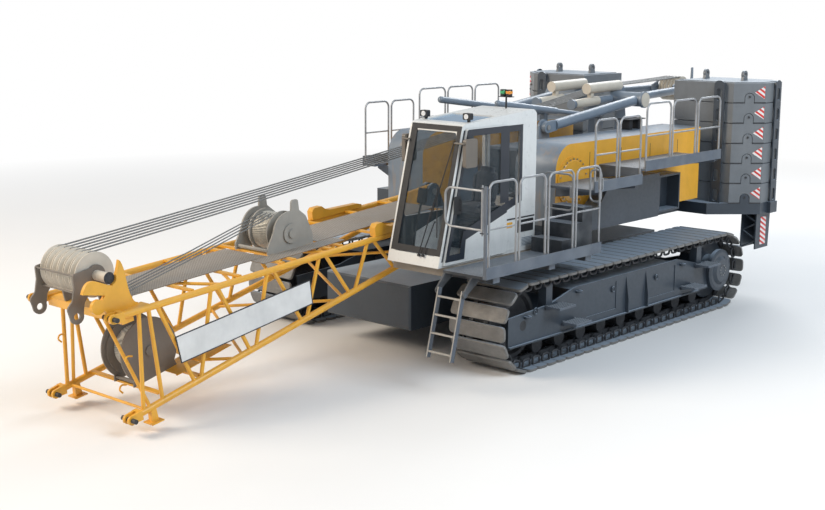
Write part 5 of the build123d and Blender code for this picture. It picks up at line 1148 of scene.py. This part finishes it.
# Panel joints on the hoods' sides
SEAM_X = (-3.05, -2.00, -0.95, 0.12)
SEAM_Z = (2.90, 3.44)
SEAM_WIDE = 0.012
SEAM_THICK = 0.003
HOOD_SIDE_Y = 2.10
seams = bmesh.new()
for y in (HOOD_SIDE_Y + SEAM_THICK, -HOOD_SIDE_Y):
    for x in SEAM_X:
        plate(seams, oblong(x, x + SEAM_WIDE, *SEAM_Z), SEAM_THICK, side_place(y))
fixed("hood_seams", seams, dark_steel)

# Gantry: pale end caps on the cross tube, sleeves on the struts and cylinders above them
CROSS_X = -3.12
CROSS_Z = 4.20
CAP_Y = (1.240, 1.252)
STRUT_Y = 0.45
MOUNT_HALF = 0.05
caps = bmesh.new()
for side in (1, -1):
    y = side * STRUT_Y
    tube(caps, [(CROSS_X, side * cap_y, CROSS_Z) for cap_y in CAP_Y], 0.153, 28)
    tube(caps, ((-2.50, y, 4.180), (-1.66, y, 4.142)), 0.094, 20)
    tube(caps, ((-3.30, y, 4.462), (-2.10, y, 4.440)), 0.112, 24)
    block(caps, (-2.30, y - MOUNT_HALF, 4.22), (-2.20, y + MOUNT_HALF, 4.36), chamfer=0.01)
fixed("gantry_sleeves", caps, sheave_cream, "gantry")

# Dark bolted end on the head sheaves' hub
HUB_THICK = 0.008
hub = bmesh.new()
low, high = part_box("head_sheaves")
hub_ends = [(head_axis.x, y, head_axis.z) for y in (high[1], high[1] + HUB_THICK)]
tube(hub, hub_ends, 0.088, 24)
rivets(hub, hub_ends[1], (0, 1, 0), 0.06, 6, 0.010)
fixed("head_hub_end", hub, dark_steel, "head_sheave_set")

# Tray behind the lower winch: two sheets on three bars
TRAY_SHEETS = (
    ((6.75, -0.20, 0.056), (7.35, 0.62, 0.066)),
    ((7.40, 0.10, 0.056), (7.85, 0.62, 0.066)),
)
TRAY_BAR_S = (6.75, 7.85)
TRAY_BAR_Y = (-0.15, 0.15, 0.57)
tray = bmesh.new()
for low, high in TRAY_SHEETS:
    block(tray, low, high, floor_frame, 0.003)
for y in TRAY_BAR_Y:
    tube(tray, [floor_frame @ Vector((s, y, 0.05)) for s in TRAY_BAR_S], 0.014, 8)
fixed("boom_tray", tray, boom_yellow, "boom")

# Hooks on the boom's front tubes
HOOK_ROOTS = ((8.70, 0.80, 0.05), (8.72, 0.55, -0.45), (8.72, -0.86, 0.10))
HOOK_LINE = ((0.0, 0.0, 0.0), (0.10, 0.0, 0.02), (0.15, 0.02, -0.05), (0.09, 0.03, -0.10))
hooks = bmesh.new()
for hook_root in HOOK_ROOTS:
    root = boom_frame @ Vector(hook_root)
    tube(hooks, rounded([root + Vector(step) for step in HOOK_LINE], 0.05), 0.014, 8)
fixed("boom_hooks", hooks, boom_yellow, "boom")

# Lashing bosses on the side frames, by x and radius: a ring with a stud in it
BOSSES = ((2.95, 0.055), (0.55, 0.045), (-0.95, 0.045), (-3.30, 0.05))
BOSS_Z = 0.98
FRAME_FACE_Y = 2.995
bosses = bmesh.new()
for side in (1, -1):
    face = side * FRAME_FACE_Y
    for x, radius in BOSSES:
        line = upright_ring((x, face + side * 0.010, BOSS_Z), radius, 20)
        tube(bosses, line, 0.014, 6, closed=True)
        rivets(bosses, (x, face, BOSS_Z), (0, side, 0), 0.0, 1, 0.018, 10)
fixed("frame_bosses", bosses, grey_paint, "undercarriage")

# Dark shields over the hoods beside the gantry's arms, each a sheet on two feet
SHIELD_Y = 1.34
SHIELD_BLOCKS = (
    (-2.75, -2.15, 0.16, 3.845, 3.865, 0.005),
    (-2.70, -2.58, 0.10, 3.64, 3.85, 0.01),
    (-2.36, -2.24, 0.10, 3.64, 3.85, 0.01),
)
shields = bmesh.new()
for side in (1, -1):
    y = side * SHIELD_Y
    for x0, x1, half, z0, z1, chamfer in SHIELD_BLOCKS:
        block(shields, (x0, y - half, z0), (x1, y + half, z1), chamfer=chamfer)
fixed("hood_shields", shields, black_rubber)


# Floor and world: pale under the object, fading to plain white behind it
FLOOR_HALF = 90
FLOOR_DROP = 0.002
WHITE_FROM = 13.0
WHITE_TO = 30.0
PLAIN_WHITE = (1.0, 1.0, 1.0, 1.0)


def ray_share(tree, *kinds):
    """1 for rays of the named kinds, else 0."""
    path = tree.nodes.new("ShaderNodeLightPath")
    share = path.outputs[kinds[0]]
    for kind in kinds[1:]:
        share = maths(tree, "MAXIMUM", share, path.outputs[kind])
    return share


def mixed_shaders(tree, share, first, second):
    """Two shaders mixed by a share."""
    node = tree.nodes.new("ShaderNodeMixShader")
    tree.links.new(share, node.inputs[0])
    tree.links.new(first.outputs[0], node.inputs[1])
    tree.links.new(second.outputs[0], node.inputs[2])
    return node


floor_mesh = bpy.data.meshes.new("floor")
floor_corners = [(x * FLOOR_HALF, y * FLOOR_HALF, 0) for x, y in ((-1, -1), (1, -1), (1, 1), (-1, 1))]
floor_mesh.from_pydata(floor_corners, [], [(0, 1, 2, 3)])
floor = bpy.data.objects.new("floor", floor_mesh)
bpy.context.collection.objects.link(floor)
floor.location.z = cad_box[0][2] - FLOOR_DROP
floor_look, floor_tree, floor_shader = new_material("floor_white")
floor_base = mixed(floor_tree, noise(floor_tree, 0.4), (0.83, 0.81, 0.79), (0.86, 0.84, 0.82))
floor_tree.links.new(floor_base, floor_shader.inputs["Base Color"])
floor_shader.inputs["Roughness"].default_value = 0.9
reach = floor_tree.nodes.new("ShaderNodeVectorMath")
reach.operation = "LENGTH"
floor_tree.links.new(places(floor_tree), reach.inputs[0])
seen = ray_share(floor_tree, "Is Camera Ray", "Is Transmission Ray", "Is Glossy Ray")
fade = product(floor_tree, ramp(floor_tree, reach.outputs["Value"], WHITE_FROM, WHITE_TO), seen)
glow = added(floor_tree, "Emission", Color=PLAIN_WHITE)
floor_mix = mixed_shaders(floor_tree, fade, floor_shader, glow)
floor_out = [item for item in floor_tree.nodes if item.type == "OUTPUT_MATERIAL"][0]
floor_tree.links.new(floor_mix.outputs[0], floor_out.inputs[0])
floor_mesh.materials.append(floor_look)

world = bpy.data.worlds.new("studio")
bpy.context.scene.world = world
world.use_nodes = True
world_tree = world.node_tree
world_tree.nodes.clear()
world_out = world_tree.nodes.new("ShaderNodeOutputWorld")
soft = added(world_tree, "Background", Color=(0.88, 0.94, 1.0, 1.0), Strength=0.45)
white = added(world_tree, "Background", Color=PLAIN_WHITE, Strength=1.0)
seen = ray_share(world_tree, "Is Camera Ray", "Is Transmission Ray")
world_mix = mixed_shaders(world_tree, seen, soft, white)
world_tree.links.new(world_mix.outputs[0], world_out.inputs[0])


# Soft lights and the photograph's camera
def area_light(name, place, target, size, power, colour):
    """A soft light that looks at a point."""
    data = bpy.data.lights.new(name, "AREA")
    data.size = size
    data.energy = power
    data.color = colour
    lamp = bpy.data.objects.new(name, data)
    lamp.location = place
    lamp.rotation_euler = (Vector(target) - Vector(place)).to_track_quat("-Z", "Y").to_euler()
    bpy.context.collection.objects.link(lamp)


area_light("key_warm", (26, -14, 20), (2, 0, 2), 14, 7600, (1.0, 0.87, 0.71))
area_light("fill_cool", (2, 23, 21), (0, 0, 2), 15, 5000, (0.76, 0.88, 1.0))
area_light("rim", (-22, -6, 18), (0, 0, 2), 12, 3500, (0.92, 0.96, 1.0))

CAMERA_PLACE = (21.04, 16.38, 6.3)
CAMERA_YAW = math.radians(41.92)
CAMERA_PITCH = math.radians(10.96)
CAMERA_ROLL = math.radians(0.24)
FOCAL_PIXELS = 1332.0
IMAGE_WIDTH = 825.0
SENSOR_WIDTH = 36.0
camera_data = bpy.data.cameras.new("camera")
camera_data.sensor_width = SENSOR_WIDTH
camera_data.lens = FOCAL_PIXELS / IMAGE_WIDTH * SENSOR_WIDTH
camera_data.clip_end = 400.0
camera = bpy.data.objects.new("camera", camera_data)
forward = Vector((
    -math.cos(CAMERA_YAW) * math.cos(CAMERA_PITCH),
    -math.sin(CAMERA_YAW) * math.cos(CAMERA_PITCH),
    -math.sin(CAMERA_PITCH),
))
aim = forward.to_track_quat("-Z", "Y").to_matrix().to_4x4() @ Matrix.Rotation(CAMERA_ROLL, 4, "Z")
camera.matrix_world = Matrix.Translation(CAMERA_PLACE) @ aim
bpy.context.collection.objects.link(camera)
bpy.context.scene.camera = camera
bpy.context.scene.view_settings.view_transform = "Standard"
